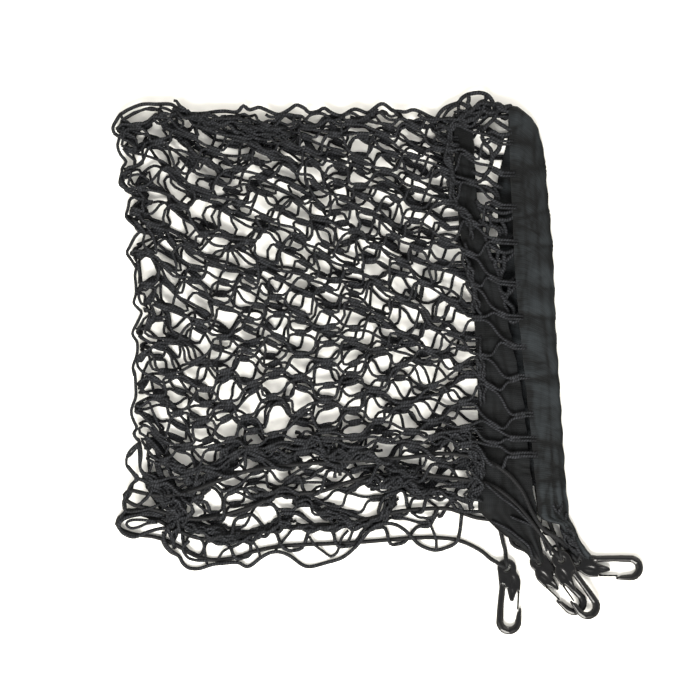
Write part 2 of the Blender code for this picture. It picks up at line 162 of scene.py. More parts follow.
def mapTubes(mesh, paths, sides):
    around = []
    run = []
    for path in paths:
        run.append(np.repeat(distanceRun(path), sides))
        around.append(np.tile(np.arange(sides) / sides, len(path)))
    around = np.concatenate(around)
    run = np.concatenate(run)
    if len(run) != len(mesh.vertices):
        print("tube map skipped on", mesh.name, len(run), len(mesh.vertices))
        return
    while mesh.uv_layers:   # the curve's own map
        mesh.uv_layers.remove(mesh.uv_layers[0])
    layer = mesh.uv_layers.new(name="alongTube")
    corner = np.empty(len(mesh.loops), dtype=np.int32)
    mesh.loops.foreach_get("vertex_index", corner)
    starts = np.empty(len(mesh.polygons), dtype=np.int32)
    totals = np.empty(len(mesh.polygons), dtype=np.int32)
    mesh.polygons.foreach_get("loop_start", starts)
    mesh.polygons.foreach_get("loop_total", totals)
    face = np.repeat(np.arange(len(starts)), totals)
    u = around[corner]
    highest = np.zeros(len(starts))
    np.maximum.at(highest, face, u)
    lowest = np.ones(len(starts))
    np.minimum.at(lowest, face, u)
    seam = (highest - lowest)[face] > 0.5   # a face from the last side to the first
    u = np.where(seam & (u < 0.5), u + 1.0, u)
    layer.data.foreach_set("uv", np.column_stack([u, run[corner]]).ravel())


# 0 to 1 over each turn of a thread that winds round a tube, a given pitch along it
def twist(tree, pitch, starts):
    uv = addNode(tree, "ShaderNodeUVMap", dict(uv_map="alongTube"))
    split = addNode(tree, "ShaderNodeSeparateXYZ", Vector=uv.outputs["UV"])
    around = addNode(tree, "ShaderNodeMath", dict(operation="MULTIPLY"),
                     (split.outputs["X"], 2 * math.pi * starts))
    turns = addNode(tree, "ShaderNodeMath", dict(operation="MULTIPLY_ADD"),
                    (split.outputs["Y"], 2 * math.pi / pitch, around.outputs["Value"]))
    wave = addNode(tree, "ShaderNodeMath", dict(operation="SINE"), (turns.outputs["Value"],))
    return addNode(tree, "ShaderNodeMath", dict(operation="MULTIPLY_ADD"),
                   (wave.outputs["Value"], 0.5, 0.5)).outputs["Value"]


# camera, lights and floor
view = dict(
    centre=(-0.0232, 0.0108),   # the point of the floor under the lens
    height=1.9,
    width=0.560,                # of the floor in view
    sensor=36.0,                # width of the camera's sensor, in millimetres
    roomLight=1.624,
    overhead=0.38,              # how bright the room is overhead, of its full light
    dimming=(0.70, 0.88),       # how far up the room starts to dim, and where it is dimmest
    # name, place, width across and power of each lamp
    lamps=(("window light", (-0.25, -1.35, 1.4), 1.2, 90.0),
           ("fill light", (0.8, 0.9, 1.8), 1.6, 9.0)),
    paper=3.0,                  # half the width of the paper below
)


def buildStage():
    camera = linkObject("camera", bpy.data.cameras.new("camera"))
    camera.location = (*view["centre"], view["height"])
    camera.data.sensor_width = view["sensor"]
    camera.data.lens = view["sensor"] * view["height"] / view["width"]
    scene.camera = camera

    world = bpy.data.worlds.new("pale room")
    world.use_nodes = True
    backdrop = world.node_tree.nodes["Background"]
    # an even pale room that is dimmer straight overhead, so that glossy black plastic shows its form
    direction = addNode(world.node_tree, "ShaderNodeTexCoord")
    split = addNode(world.node_tree, "ShaderNodeSeparateXYZ", Vector=direction.outputs["Generated"])
    room = addNode(world.node_tree, "ShaderNodeValToRGB", Fac=split.outputs["Z"])
    tones = (hexColour("#FFFAF0"), (*[view["overhead"]] * 3, 1.0))
    for stop, position, tone in zip(room.color_ramp.elements, view["dimming"], tones):
        stop.position = position
        stop.color = tone
    world.node_tree.links.new(room.outputs["Color"], backdrop.inputs["Color"])
    backdrop.inputs["Strength"].default_value = view["roomLight"]
    scene.world = world

    for name, place, size, power in view["lamps"]:
        lamp = bpy.data.lights.new(name, "AREA")
        lamp.shape = "DISK"
        lamp.size = size
        lamp.energy = power
        lamp.color = hexColour("#FFFCF6")[:3]
        obj = linkObject(name, lamp)
        obj.location = place
        obj.rotation_euler = (-Vector(place)).to_track_quat("-Z", "Y").to_euler()

    # matt white paper
    paper, tree, shader = newMaterial("white matt paper")
    shader.inputs["Base Color"].default_value = hexColour("#F7F7F4")
    shader.inputs["Roughness"].default_value = 0.9
    bm = bmesh.new()
    bmesh.ops.create_grid(bm, x_segments=1, y_segments=1, size=view["paper"])
    mesh = bpy.data.meshes.new("floor")
    bm.to_mesh(mesh)
    bm.free()
    floor = linkObject("floor", mesh)
    floor.data.materials.append(paper)


buildStage()
print("stage built")

# elastic cords: the same routes as the CAD cords
elastic = dict(
    diameter=0.0034,
    spacing=0.003,
    eyeReach=0.0085,     # a cord's end stops this far from the middle of its hook's eye
    approach=0.006,      # and runs straight towards it over this length
    hookThickness=0.0052,
    leastDeclared=0.03,  # the frame takes no shorter piece as a cord
    plait=0.0026,        # one turn of the braid, drawn coarser than life so that it shows
    tones=("#070708", "#121315"),   # between the plaits and on them
)
hooks = (
    # x, y, z of the underside at the eye, turn in degrees, lies face down
    (0.1020, -0.1634, 0.0000, 0.0, False),
    (0.1278, -0.1585, 0.0000, 43.0, True),
    (0.1450, -0.1562, 0.0056, 31.5, True),
    (0.1582, -0.1584, 0.0000, 85.7, True),
)
lowerSide = (
    # x, y, z from hook 1 to hook 2
    (0.0808, -0.1492, 0.0018), (0.0672, -0.1425, 0.0018), (0.0540, -0.1397, 0.0018),
    (0.0288, -0.1393, 0.0018), (-0.0216, -0.1432, 0.0018), (-0.0736, -0.1455, 0.0018),
    (-0.0992, -0.1500, 0.0018), (-0.1120, -0.1545, 0.0018), (-0.1312, -0.1570, 0.0018),
    (-0.1472, -0.1535, 0.0018), (-0.1640, -0.1440, 0.0018), (-0.1800, -0.1385, 0.0018),
    (-0.1960, -0.1365, 0.0018), (-0.2080, -0.1310, 0.0022), (-0.2070, -0.1225, 0.0030),
    (-0.1950, -0.1195, 0.0036), (-0.1790, -0.1240, 0.0042), (-0.1630, -0.1320, 0.0044),
    (-0.1430, -0.1395, 0.0042), (-0.1190, -0.1385, 0.0042), (-0.0990, -0.1345, 0.0042),
    (-0.0790, -0.1310, 0.0042), (-0.0470, -0.1288, 0.0042), (-0.0280, -0.1285, 0.0042),
    (-0.0088, -0.1240, 0.0042), (0.0104, -0.1190, 0.0042), (0.0288, -0.1165, 0.0042),
    (0.0520, -0.1155, 0.0042), (0.0640, -0.1185, 0.0024), (0.0770, -0.1230, 0.0017),
    (0.0928, -0.1260, 0.0017), (0.1030, -0.1345, 0.0017), (0.1070, -0.1445, 0.0017),
)
upperSide = (
    # and from hook 3 to hook 4
    (0.1265, -0.1330, 0.0118), (0.1120, -0.1150, 0.0115), (0.0960, -0.1010, 0.0114),
    (0.0800, -0.0940, 0.0114), (0.0620, -0.0915, 0.0098), (0.0400, -0.0895, 0.0080),
    (0.0024, -0.0885, 0.0080), (-0.0280, -0.0955, 0.0080), (-0.0472, -0.1020, 0.0080),
    (-0.0712, -0.1040, 0.0080), (-0.0872, -0.1070, 0.0080), (-0.0992, -0.1130, 0.0080),
    (-0.1144, -0.1180, 0.0080), (-0.1296, -0.1220, 0.0080), (-0.1450, -0.1240, 0.0080),
    (-0.1620, -0.1210, 0.0082), (-0.1800, -0.1160, 0.0086), (-0.1950, -0.1125, 0.0092),
    (-0.2030, -0.1060, 0.0098), (-0.1975, -0.1010, 0.0106), (-0.1850, -0.1035, 0.0112),
    (-0.1680, -0.1050, 0.0122), (-0.1480, -0.1010, 0.0130), (-0.1250, -0.0920, 0.0132),
    (-0.0990, -0.0840, 0.0132), (-0.0630, -0.0800, 0.0126), (-0.0270, -0.0775, 0.0126),
    (0.0168, -0.0750, 0.0126), (0.0488, -0.0715, 0.0126), (0.0728, -0.0740, 0.0121),
    (0.0960, -0.0830, 0.0116), (0.1120, -0.0990, 0.0116), (0.1215, -0.1180, 0.0116),
    (0.1300, -0.1310, 0.0126), (0.1400, -0.1375, 0.0125), (0.1475, -0.1440, 0.0080),
)
backTailLow = ((0.0962, -0.1318, 0.0040), (0.0975, -0.1362, 0.0042), (0.0990, -0.1430, 0.0034))
backTailHigh = ((0.1200, -0.1450, 0.0080), (0.1219, -0.1466, 0.0056), (0.1244, -0.1495, 0.0036))
frontTailHigh = ((0.1345, -0.1220, 0.0078), (0.1370, -0.1300, 0.0070), (0.1400, -0.1370, 0.0076))
frontTailLow = (
    (0.1470, -0.1222, 0.0018), (0.1505, -0.1300, 0.0018), (0.1543, -0.1385, 0.0019),
    (0.1585, -0.1448, 0.0022), (0.1614, -0.1494, 0.0025),
)


# a cord's last points before its hook's eye, which it comes to from a given angle
def eyeApproach(hook, angle):
    x, y, z = hook[:3]
    away = Vector((math.cos(math.radians(angle)), math.sin(math.radians(angle)), 0.0))
    middle = Vector((x, y, z + elastic["hookThickness"] / 2))
    return [middle + away * (elastic["eyeReach"] + elastic["approach"]), middle + away * elastic["eyeReach"]]


one, two, three, four = hooks
cordRoutes = dict(
    side_cord_low=eyeApproach(one, 150)[::-1] + list(lowerSide) + eyeApproach(two, 140),
    side_cord_high=eyeApproach(three, 130)[::-1] + list(upperSide) + eyeApproach(four, 128),
    back_hem_cord_low=list(backTailLow) + eyeApproach(one, 95),
    back_hem_cord_high=backTailHigh,
    front_hem_cord_high=list(frontTailHigh) + eyeApproach(three, 100)[1:],
    front_hem_cord_low=frontTailLow,
)


# braided polyester sleeve over rubber: near-black, its fine crossing plaits softly glossy
def elasticMaterial():
    made, tree, shader = newMaterial("braided elastic cord")
    shader.inputs["Roughness"].default_value = 0.6
    shader.inputs["Specular IOR Level"].default_value = 0.12
    shader.inputs["Sheen Weight"].default_value = 0.02
    crossing = addNode(tree, "ShaderNodeMath", dict(operation="MAXIMUM"),
                       (twist(tree, elastic["plait"], 2), twist(tree, elastic["plait"], -2)))
    mix = addNode(tree, "ShaderNodeValToRGB", Fac=crossing.outputs["Value"])
    for stop, tone in zip(mix.color_ramp.elements, elastic["tones"]):
        stop.color = hexColour(tone)
    tree.links.new(mix.outputs["Color"], shader.inputs["Base Color"])
    bump = addNode(tree, "ShaderNodeBump", dict(Strength=0.5, Distance=0.0003),
                   Height=crossing.outputs["Value"])
    tree.links.new(bump.outputs["Normal"], shader.inputs["Normal"])
    return made


def buildCords():
    material = elasticMaterial()
    for name, points in cordRoutes.items():
        path = smoothRoute(points, elastic["spacing"])
        obj = tubeMesh(f"{name}_braid", [path], [elastic["diameter"] / 2])
        finishPiece(obj, "root", material)
        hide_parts(name)


buildCords()
print("cords built")

# the knotless mesh: a front and a back sheet that meet at the left fold, both folded over at the top
net = dict(
    strand=0.0023,           # thickness of one knitted strand
    rowPitch=0.0210,         # from one joint to the next, along a strand
    strandPitch=0.0125,      # from one strand to the next
    frontRows=15,
    backRows=13,
    lowerStrands=27,         # below the top fold
    upperStrands=23,         # above it
    jointLength=0.0090,      # two strands are worked together over this length
    jointSpread=0.00140,     # a joined strand lies this far from its joint's middle
    jointSwell=0.34,         # how much thicker a strand is in a joint
    jointTurn=13,            # how far a joint is turned at random, in degrees
    foldTurn=30,             # and beside the left fold
    lean=-22,                # how far the joints of the upper part slant
    leanY=(-0.020, 0.050),   # this sets in between these y
    leanX=(-0.195, -0.170),  # and between these x
    bow=1.35,                # how round the bars between joints are
    bowVaries=(0.85, 1.15),
    barSteps=7,
    jointSteps=4,
    hemTuck=0.0035,          # a strand runs this far into its hem
    endRun=0.003,            # and at least this far past its last joint
    pocketRadius=0.0018,     # of the left fold, where front and back are one
    foldRadius=0.0036,       # of the top fold, between the two
    foldCentre=0.0064,       # height of the middle of the top fold
    # waves of mesh slipped round the left fold: size, length, start
    foldSlip=((0.0070, 0.115, 1.3), (0.0040, 0.047, 4.0)),
    slipReach=0.085,         # they are felt this far from it
    jitter=0.0014,           # how far each joint strays by itself
    # waves of joints straying together: shortest, longest, size
    drift=((0.045, 0.080, 0.0015), (0.110, 0.220, 0.0040)),
    driftWaves=8,            # of each of the two
    freeFromLeft=(0.000, 0.015),    # a joint is held, and free, this far from the left fold
    freeFromTop=(0.002, 0.020),     # from the top fold
    freeFromEdge=(-0.004, 0.024),   # and from the gathered edge
    edgeHold=3,              # how firmly it is held there
    hold=0.03,               # how firmly every joint keeps its place
    stiffness=1.6,           # how closely neighbouring joints move together
    layerLean=np.array((0.0012, 0.0008)),   # how far apart the layers' meshes lie
    openingReach=0.022,      # an opening draws the middle of a cell from this far
    gather=0.55,             # how much closer the mesh lies along a gathering line
    edgeClearance=0.0030,    # from an elastic to the edge of the mesh that it gathers
    edgeWindow=0.010,        # the edge clears the elastic's highest place this far either way
    cornerX=(-0.184, -0.159),       # the layers' edges come together between these x
    hemRise=0.032,           # the lower front edge rises this much to its hem
    riseX=(0.038, 0.058),    # between these x
    loopDepth=0.0066,        # edge loops reach this far past the edge, round their elastic
    loopVaries=(0.85, 1.25),
    cordClearance=0.0029,    # between the middles of an elastic and of a strand that crosses it
    cordReach=(0.0030, 0.0085),     # a strand goes round an elastic that is this near
    borderSwell=1.32,        # the outermost strand is this much thicker
    stitch=0.0022,           # one stitch along a strand
    lozenge=(0.56, 0.0021, 0.0012),   # a joint's half length, as a share, half width and half height
    lozengeVaries=(0.9, 1.15),
    leastFlat=0.3,           # least share of its outline that a mesh counts as cloth
    seed=11,
)
leftEdge = (
    # y, x of the fold where front and back are one
    (-0.115, -0.1800), (-0.098, -0.1850), (-0.077, -0.1860), (-0.062, -0.1895), (-0.055, -0.1935),
    (-0.051, -0.1920), (-0.038, -0.1955), (-0.027, -0.1925), (-0.003, -0.1945), (0.013, -0.1905),
    (0.024, -0.1950), (0.0405, -0.1875), (0.048, -0.1940), (0.060, -0.1925), (0.076, -0.1915),
    (0.088, -0.1985), (0.106, -0.1890), (0.117, -0.1995), (0.127, -0.1980), (0.1335, -0.1920),
    (0.143, -0.2045), (0.152, -0.2035), (0.161, -0.1995), (0.174, -0.2065), (0.181, -0.2050),
    (0.187, -0.2105), (0.197, -0.2040), (0.204, -0.1900),
)
topEdge = (
    # x, y of the main fold
    (-0.2150, 0.1930), (-0.2000, 0.2005), (-0.1870, 0.2045), (-0.1660, 0.2035),
    (-0.1500, 0.1985), (-0.1150, 0.1985), (-0.0900, 0.2000), (-0.0500, 0.1975),
    (0.0030, 0.2020), (0.0450, 0.1960), (0.0560, 0.1965), (0.0780, 0.2000),
    (0.0960, 0.1990), (0.1150, 0.2000),
)
backBand = (
    # y, inner x, outer x of the back sheet's hem
    (-0.143, 0.1085, 0.1235), (-0.131, 0.0980, 0.1240), (-0.117, 0.0790, 0.1230),
    (-0.093, 0.0790, 0.1215), (-0.029, 0.0790, 0.1150), (0.027, 0.0765, 0.1040),
    (0.063, 0.0725, 0.0970), (0.088, 0.0680, 0.0890), (0.107, 0.0640, 0.0830),
    (0.133, 0.0620, 0.0775), (0.171, 0.0600, 0.0755), (0.198, 0.0590, 0.0745),
)
frontBand = (
    # y, inner x, outer x of the front sheet's hem
    (-0.121, 0.1260, 0.1500), (-0.093, 0.1245, 0.1480), (-0.029, 0.1180, 0.1440),
    (0.027, 0.1120, 0.1400), (0.075, 0.1080, 0.1380), (0.171, 0.1040, 0.1290),
    (0.190, 0.1030, 0.1250), (0.204, 0.1030, 0.1150),
)
ridges = (
    # x1, y1, x2, y2, half width and height of the soft ridges where the mesh is gathered
    (-0.160, -0.098, -0.080, -0.066, 0.014, 0.0024),
    (-0.080, -0.066, 0.070, -0.056, 0.013, 0.0030),
    (-0.150, 0.120, -0.020, 0.030, 0.022, 0.0014),
    (-0.060, 0.150, 0.060, 0.080, 0.020, 0.0012),
)
ridgeBase, ridgeSpan = 0.001, 0.0108   # a layer is lifted by its height above the base, over the span
# where strands crowd together: share of the strands from the fold, share of the height below it
strandSpread = dict(
    lower=((0.0, 0.0), (0.10, 0.085), (0.30, 0.29), (0.70, 0.74), (0.85, 0.89), (1.0, 1.0), (1.1, 1.1)),
    upper=((0.0, 0.0), (0.12, 0.10), (0.30, 0.29), (0.65, 0.70), (0.82, 0.89), (1.0, 1.0), (1.1, 1.1)),
)
# how far the lower half of the front sheet lies to the left of its upper half at the hem, and
# between which y this grows and fades
lowerLag = dict(size=0.0110, grows=(-0.115, -0.030), fades=(0.135, 0.190))
# lines that the mesh is drawn together towards: x1, y1, x2, y2, how far it is felt
gathers = (
    (-0.1880, -0.1080, -0.1390, -0.0930, 0.016),
    (-0.1390, -0.0930, -0.0980, -0.0620, 0.016),
    (-0.1030, -0.0730, -0.0300, -0.0700, 0.018),
    (-0.0060, -0.0870, 0.0380, -0.0990, 0.015),
    (0.0210, -0.0960, 0.0700, -0.1080, 0.015),
    (-0.1580, -0.1280, -0.1180, -0.1390, 0.010),
    (-0.1180, -0.1390, -0.0740, -0.1350, 0.010),
    (0.0000, 0.0150, 0.0700, 0.0050, 0.010),
    (-0.1550, 0.1000, -0.0900, 0.0700, 0.010),
    (-0.1000, 0.1780, 0.0200, 0.1500, 0.012),
)
# the elastic that gathers each layer, and the first and last of its points along the edge there
gatherRuns = dict(
    upperFront=(upperSide, 19, 30), upperBack=(upperSide, 4, 17),
    lowerFront=(lowerSide, 3, 12), lowerBack=(lowerSide, 15, 27),
)


def lowerShift(y):
    grown = smoothStep(y, *lowerLag["grows"]) * (1 - smoothStep(y, *lowerLag["fades"]))
    return lowerLag["size"] * grown


def ridgeHeight(x, y):
    total = np.zeros_like(x)
    for x1, y1, x2, y2, halfWidth, height in ridges:
        alongX, alongY = x2 - x1, y2 - y1
        share = ((x - x1) * alongX + (y - y1) * alongY) / (alongX ** 2 + alongY ** 2)
        share = np.clip(share, 0.0, 1.0)
        away = np.hypot(x - x1 - alongX * share, y - y1 - alongY * share) / halfWidth
        total = np.maximum(total, height * np.exp(-away * away))
    return total


# the points of the elastic along the edge of one layer, from left to right
def gatherRun(upper, front):
    route, first, last = gatherRuns[("upper" if upper else "lower") + ("Front" if front else "Back")]
    return sorted(route[first:last + 1])


def runEdge(upper, front, x):
    stretch = gatherRun(upper, front)
    near = [readTable(stretch, x + step) for step in (-net["edgeWindow"], 0.0, net["edgeWindow"])]
    return np.max(near, axis=0) + net["edgeClearance"]


# lowest y of a half at x; side runs from -1 on the back sheet to 1 on the front sheet
def layerEdge(x, upper, side):
    front = runEdge(upper, True, x)
    back = runEdge(upper, False, x)
    if not upper:
        front = front + net["hemRise"] * smoothStep(x, *net["riseX"])
    corner = 1 - smoothStep(x, *net["cornerX"])
    highest = np.maximum(front, back)
    front = front + (highest - front) * corner
    back = back + (highest - back) * corner
    return back + (front - back) * (side + 1) / 2


# from net measure to place: s runs from the left fold, back sheet negative, and v from the top
# fold, lower half negative, both in metres of relaxed mesh
def meshPlace(s, v):
    pocket = net["pocketRadius"]
    turn = np.clip(s / pocket, -math.pi / 2, math.pi / 2)
    side = np.sin(turn)
    radius = net["foldRadius"] + pocket * side
    front = s > 0
    upper = v > 0
    widest = np.where(front, net["frontRows"], net["backRows"]) * net["rowPitch"]
    quarter = math.pi / 2 * pocket
    across = np.maximum(np.abs(s) - quarter, 0.0) / (widest - quarter)
    tallest = np.where(upper, net["upperStrands"], net["lowerStrands"]) * net["strandPitch"]
    bend = math.pi / 2 * radius
    down = np.maximum(np.abs(v) - bend, 0.0) / (tallest - bend)
    lean = np.clip(v / radius, -math.pi / 2, math.pi / 2)
    x = np.full_like(s, -0.05)   # a first guess, in the middle of the net
    for _ in range(5):           # x and y depend on each other, so both are refined together
        top = readTable(topEdge, x) - net["foldRadius"] - pocket - net["strand"] / 2
        edge = np.where(upper, layerEdge(x, True, side), layerEdge(x, False, side))
        y = top + radius * np.cos(lean) + (edge - top) * down
        left = readTable(leftEdge, y) + pocket + net["strand"] / 2
        right = np.where(front, readTable(frontBand, y) - np.where(upper, 0.0, lowerShift(y)),
                         readTable(backBand, y))
        x = left + (right - left) * across - pocket * np.cos(turn)
    z = net["foldCentre"] + radius * np.sin(lean)
    z = z + ridgeHeight(x, y) * (z - ridgeBase) / ridgeSpan
    return np.column_stack([x, y, z])


# a strand's v, and a row's s, in net measure
def strandHeight(number):
    upper = number > 0
    count = net["upperStrands"] if upper else net["lowerStrands"]
    spread = readTable(strandSpread["upper" if upper else "lower"], abs(number) / count)
    return math.copysign(float(spread), number) * count * net["strandPitch"]


def rowRun(row):
    return (row + 0.5) * net["rowPitch"]


# a slow random wandering of the mesh, the same each run
def driftField(rng, places):
    moved = np.zeros_like(places)
    for shortest, longest, swing in net["drift"]:
        for _ in range(net["driftWaves"]):
            wave = 2 * math.pi / rng.uniform(shortest, longest)
            angle, phase, lean = rng.uniform(0, 2 * math.pi, 3)
            wavy = np.sin(places @ (wave * np.array([math.cos(angle), math.sin(angle)])) + phase)
            moved += np.outer(wavy, (math.cos(lean), math.sin(lean))) * swing / 2
    return moved


# middles of the widest openings, where the meshes of all four layers lie over each other
wideOpenings = np.array((
    (-0.1720, 0.1943), (-0.1613, 0.1913), (-0.1490, 0.1780), (-0.1710, 0.1632), (-0.1256, 0.1662),
    (-0.0986, 0.1535), (-0.1460, 0.1504), (-0.1210, 0.1382), (-0.1643, 0.1341), (-0.0756, 0.1407),
    (-0.0976, 0.1260), (-0.1388, 0.1224), (-0.1812, 0.1178), (-0.1169, 0.1086), (-0.1572, 0.1055),
    (-0.1368, 0.0928), (-0.1808, 0.0860), (-0.1696, 0.0844), (-0.1531, 0.0744), (-0.0883, 0.0974),
    (-0.0756, 0.1718), (-0.0960, 0.1964), (-0.0746, 0.1932), (-0.0643, 0.1994), (-0.0552, 0.1831),
    (-0.1909, 0.1474), (-0.1064, 0.0790), (-0.0992, 0.0734), (-0.0664, 0.0862), (-0.1223, -0.0070),
    (-0.1090, 0.0390), (-0.0970, 0.0170), (-0.0230, 0.0260), (0.0170, 0.0830),
))


# the four joints round the cell at strand k and row
def cellCorners(k, row):
    return [(k, row - 1), (k, row + 1), (k - 1, row), (k + 1, row)]


# moves one layer's joints so that the middles of its cells settle on the openings; held says how
# firmly each joint keeps its x and its y
def settleOnOpenings(keys, places, held, lean):
    number = {key: index for index, key in enumerate(keys)}
    beside = sorted({cell for key in keys for cell in cellCorners(*key)})
    cells = np.array([[number[key] for key in cellCorners(*cell)] for cell in beside
                      if all(key in number for key in cellCorners(*cell))])
    ties = np.array([(number[k, row], number[other]) for k, row in keys
                     for other in ((k + 1, row + 1), (k + 1, row - 1)) if other in number])
    stiffness = np.zeros((len(ties), len(keys)))
    stiffness[np.arange(len(ties)), ties[:, 0]] = net["stiffness"]
    stiffness[np.arange(len(ties)), ties[:, 1]] = -net["stiffness"]
    wanted = wideOpenings + lean * net["layerLean"]
    moved = places.copy()
    for _ in range(6):   # each time the nearest cell may be another
        middles = moved[cells].mean(axis=1)
        gaps = np.linalg.norm(wanted[:, None] - middles[None], axis=2)
        close = np.flatnonzero(gaps.min(axis=1) < net["openingReach"])
        pulled = cells[gaps[close].argmin(axis=1)]
        pulls = np.zeros((len(close), len(keys)))
        np.put_along_axis(pulls, pulled, 1 / 4, axis=1)
        goal = wanted[close] - places[pulled].mean(axis=1)
        for axis in (0, 1):
            system = np.vstack([pulls, stiffness, np.diag(held[:, axis])])
            answer = np.concatenate([goal[:, axis], np.zeros(len(ties) + len(keys))])
            moved[:, axis] = places[:, axis] + np.linalg.lstsq(system, answer, rcond=None)[0]
    return moved


# how far each place is drawn towards the nearest gathering line
def gathered(places):
    moved = np.zeros_like(places)
    for x1, y1, x2, y2, reach in gathers:
        start, run = np.array([x1, y1]), np.array([x2 - x1, y2 - y1])
        share = np.clip((places - start) @ run / (run @ run), 0.0, 1.0)
        away = places - start - share[:, None] * run
        nearness = np.exp(-(np.linalg.norm(away, axis=1) / reach) ** 2)
        moved -= net["gather"] * away * nearness[:, None]
    return moved


# places, in net measure, where two strands are joined, and how far each joint is turned; joint k
# joins strands k - 1 and k
def meshJoints():
    rng = np.random.default_rng(net["seed"])
    joints = {}
    for k in range(-net["lowerStrands"] + 1, net["upperStrands"]):
        for row in range(-net["backRows"], net["frontRows"]):
            if (k + row) % 2 == 0:
                joints[k, row] = (rowRun(row), strandHeight(k))
    for front in (False, True):
        for upper in (False, True):
            keys = [j for j in joints if (j[1] >= 0) == front and (j[0] >= 0) == upper]
            mine = np.array([joints[j] for j in keys])
            flat = meshPlace(mine[:, 0], mine[:, 1])[:, :2]
            limit = (net["upperStrands"] if upper else net["lowerStrands"]) * net["strandPitch"]
            freeX = smoothStep(np.abs(mine[:, 0]), *net["freeFromLeft"])
            freeY = smoothStep(np.abs(mine[:, 1]), *net["freeFromTop"])
            freeY *= smoothStep(limit - np.abs(mine[:, 1]), *net["freeFromEdge"])
            free = np.column_stack([freeX, freeY])
            lean = np.array([1 if front else -1, 1 if upper else -1])
            wander = driftField(rng, flat) + rng.normal(0, net["jitter"], flat.shape)
            start = flat + wander * free
            wanted = settleOnOpenings(keys, start, net["hold"] + net["edgeHold"] * (1 - free), lean)
            wanted += gathered(wanted) * free
            signs = np.array([1 if front else -1, -1 if upper else 1])
            for _ in range(4):   # back to net measure, a little nearer each time
                mine += (wanted - meshPlace(mine[:, 0], mine[:, 1])[:, :2]) * signs
            for size, wave, start in net["foldSlip"]:
                slip = size * np.sin(2 * math.pi * mine[:, 1] / wave + start)
                mine[:, 0] += slip * np.clip(1 - np.abs(mine[:, 0]) / net["slipReach"], 0, 1)
            for key, place in zip(keys, mine):
                joints[key] = tuple(place)
    at = np.array(list(joints.values()))
    x, y, _ = meshPlace(at[:, 0], at[:, 1]).T
    lean = net["lean"] * smoothStep(y, *net["leanY"]) * smoothStep(x, *net["leanX"])
    lean *= np.where((at[:, 0] > 0) == (at[:, 1] > 0), -1, 1)
    turns = {}
    for key, slope in zip(joints, lean):
        spread = net["foldTurn" if key[1] in (-1, 0) else "jointTurn"]
        turns[key] = math.radians(slope + rng.normal(0, spread))
    return joints, turns


# points between two ends, set closer towards each; a pull is the way and how hard a strand leaves
def hermite(start, startPull, end, endPull, steps):
    t = 0.5 - 0.5 * np.cos(np.linspace(0, math.pi, steps + 1)[1:-1, None])
    return ((2 * t ** 3 - 3 * t ** 2 + 1) * start + (t ** 3 - 2 * t ** 2 + t) * startPull
            + (3 * t ** 2 - 2 * t ** 3) * end + (t ** 3 - t ** 2) * endPull)


# one strand's way through its joints in net measure, how far each point is round an elastic,
# and how much thicker the strand is there
def strandRun(number, joints, turns, rng):
    half = net["jointLength"] / 2
    points, phases, swell = [], [], []
    last = None
    for row in range(-net["backRows"], net["frontRows"]):
        k = number if (number + row) % 2 == 0 else number + 1
        looped = (k, row) not in joints
        if looped:
            depth = net["loopDepth"] * rng.uniform(*net["loopVaries"])
            middle = np.array([rowRun(row), strandHeight(k) + math.copysign(depth, k)])
            along = np.array([1.0, 0.0])
            reach = half / 2
            aside = np.zeros(2)
        else:
            middle = np.array(joints[k, row])
            turn = turns[k, row]
            along = np.array([math.cos(turn), math.sin(turn)])
            reach = half
            aside = net["jointSpread"] * np.array([-along[1], along[0]]) * (1 if k == number else -1)
        start = middle - along * reach + aside
        end = middle + along * reach + aside
        if last is not None:
            pull = net["bow"] * rng.uniform(*net["bowVaries"]) * np.linalg.norm(start - last[0])
            bar = hermite(last[0], last[1] * pull, start, along * pull, net["barSteps"])
            points.extend(bar)
            phases.extend([float(last[2]) - float(looped)] * len(bar))
            swell.extend([1.0] * len(bar))
        for step in range(net["jointSteps"] + 1):
            share = step / net["jointSteps"]
            points.append(start + (end - start) * share)
            phases.append((2 * share - 1) if looped else 0.0)
            swell.append(1.0 if looped else 1 + net["jointSwell"] * math.sin(math.pi * share) ** 0.5)
        last = (end, along, looped)
    return np.array(points), np.array(phases), np.array(swell)


# an outermost strand's places, moved over and under the elastic that runs through its loops
def roundElastic(number, places, run, phases):
    if number not in (-net["lowerStrands"], net["upperStrands"] - 1):
        return places
    x, y, z = places.T
    for front in (False, True):
        stretch = gatherRun(number > 0, front)
        cordY = readTable(stretch, x)
        cordZ = readTable(stretch, x, 2)
        mine = (run[:, 0] > 0) == front
        near = (1 - smoothStep(y - cordY, *net["cordReach"])) * mine
        near *= (x > stretch[0][0]) & (x < stretch[-1][0])
        target = cordZ - net["cordClearance"] * phases
        z = z + (target - z) * near
    return np.column_stack([x, y, np.maximum(z, net["strand"] / 2 + floorGap)])


# knitted polyester yarn: matt near-black; where its stitches face up it is painted lighter, a painted
# highlight on the top of the strand mixed with grey lint in random patches; the sides of a strand stay dark
yarn = dict(
    tones=("#0E0F11", "#313337"),   # bare, and with its full painted highlight and lint
    crown=(0.45, 0.98),      # how far the yarn faces up where the painted highlight and lint start, and where they are full
    wear=260.0,              # patches of wear, 1/260 m or about 4 mm across
    worn=(0.35, 0.65),
    leastWorn=0.25,
    stitchDepth=0.0005,
    waveLength=0.314,        # of a wave pattern at a scale of 1
)


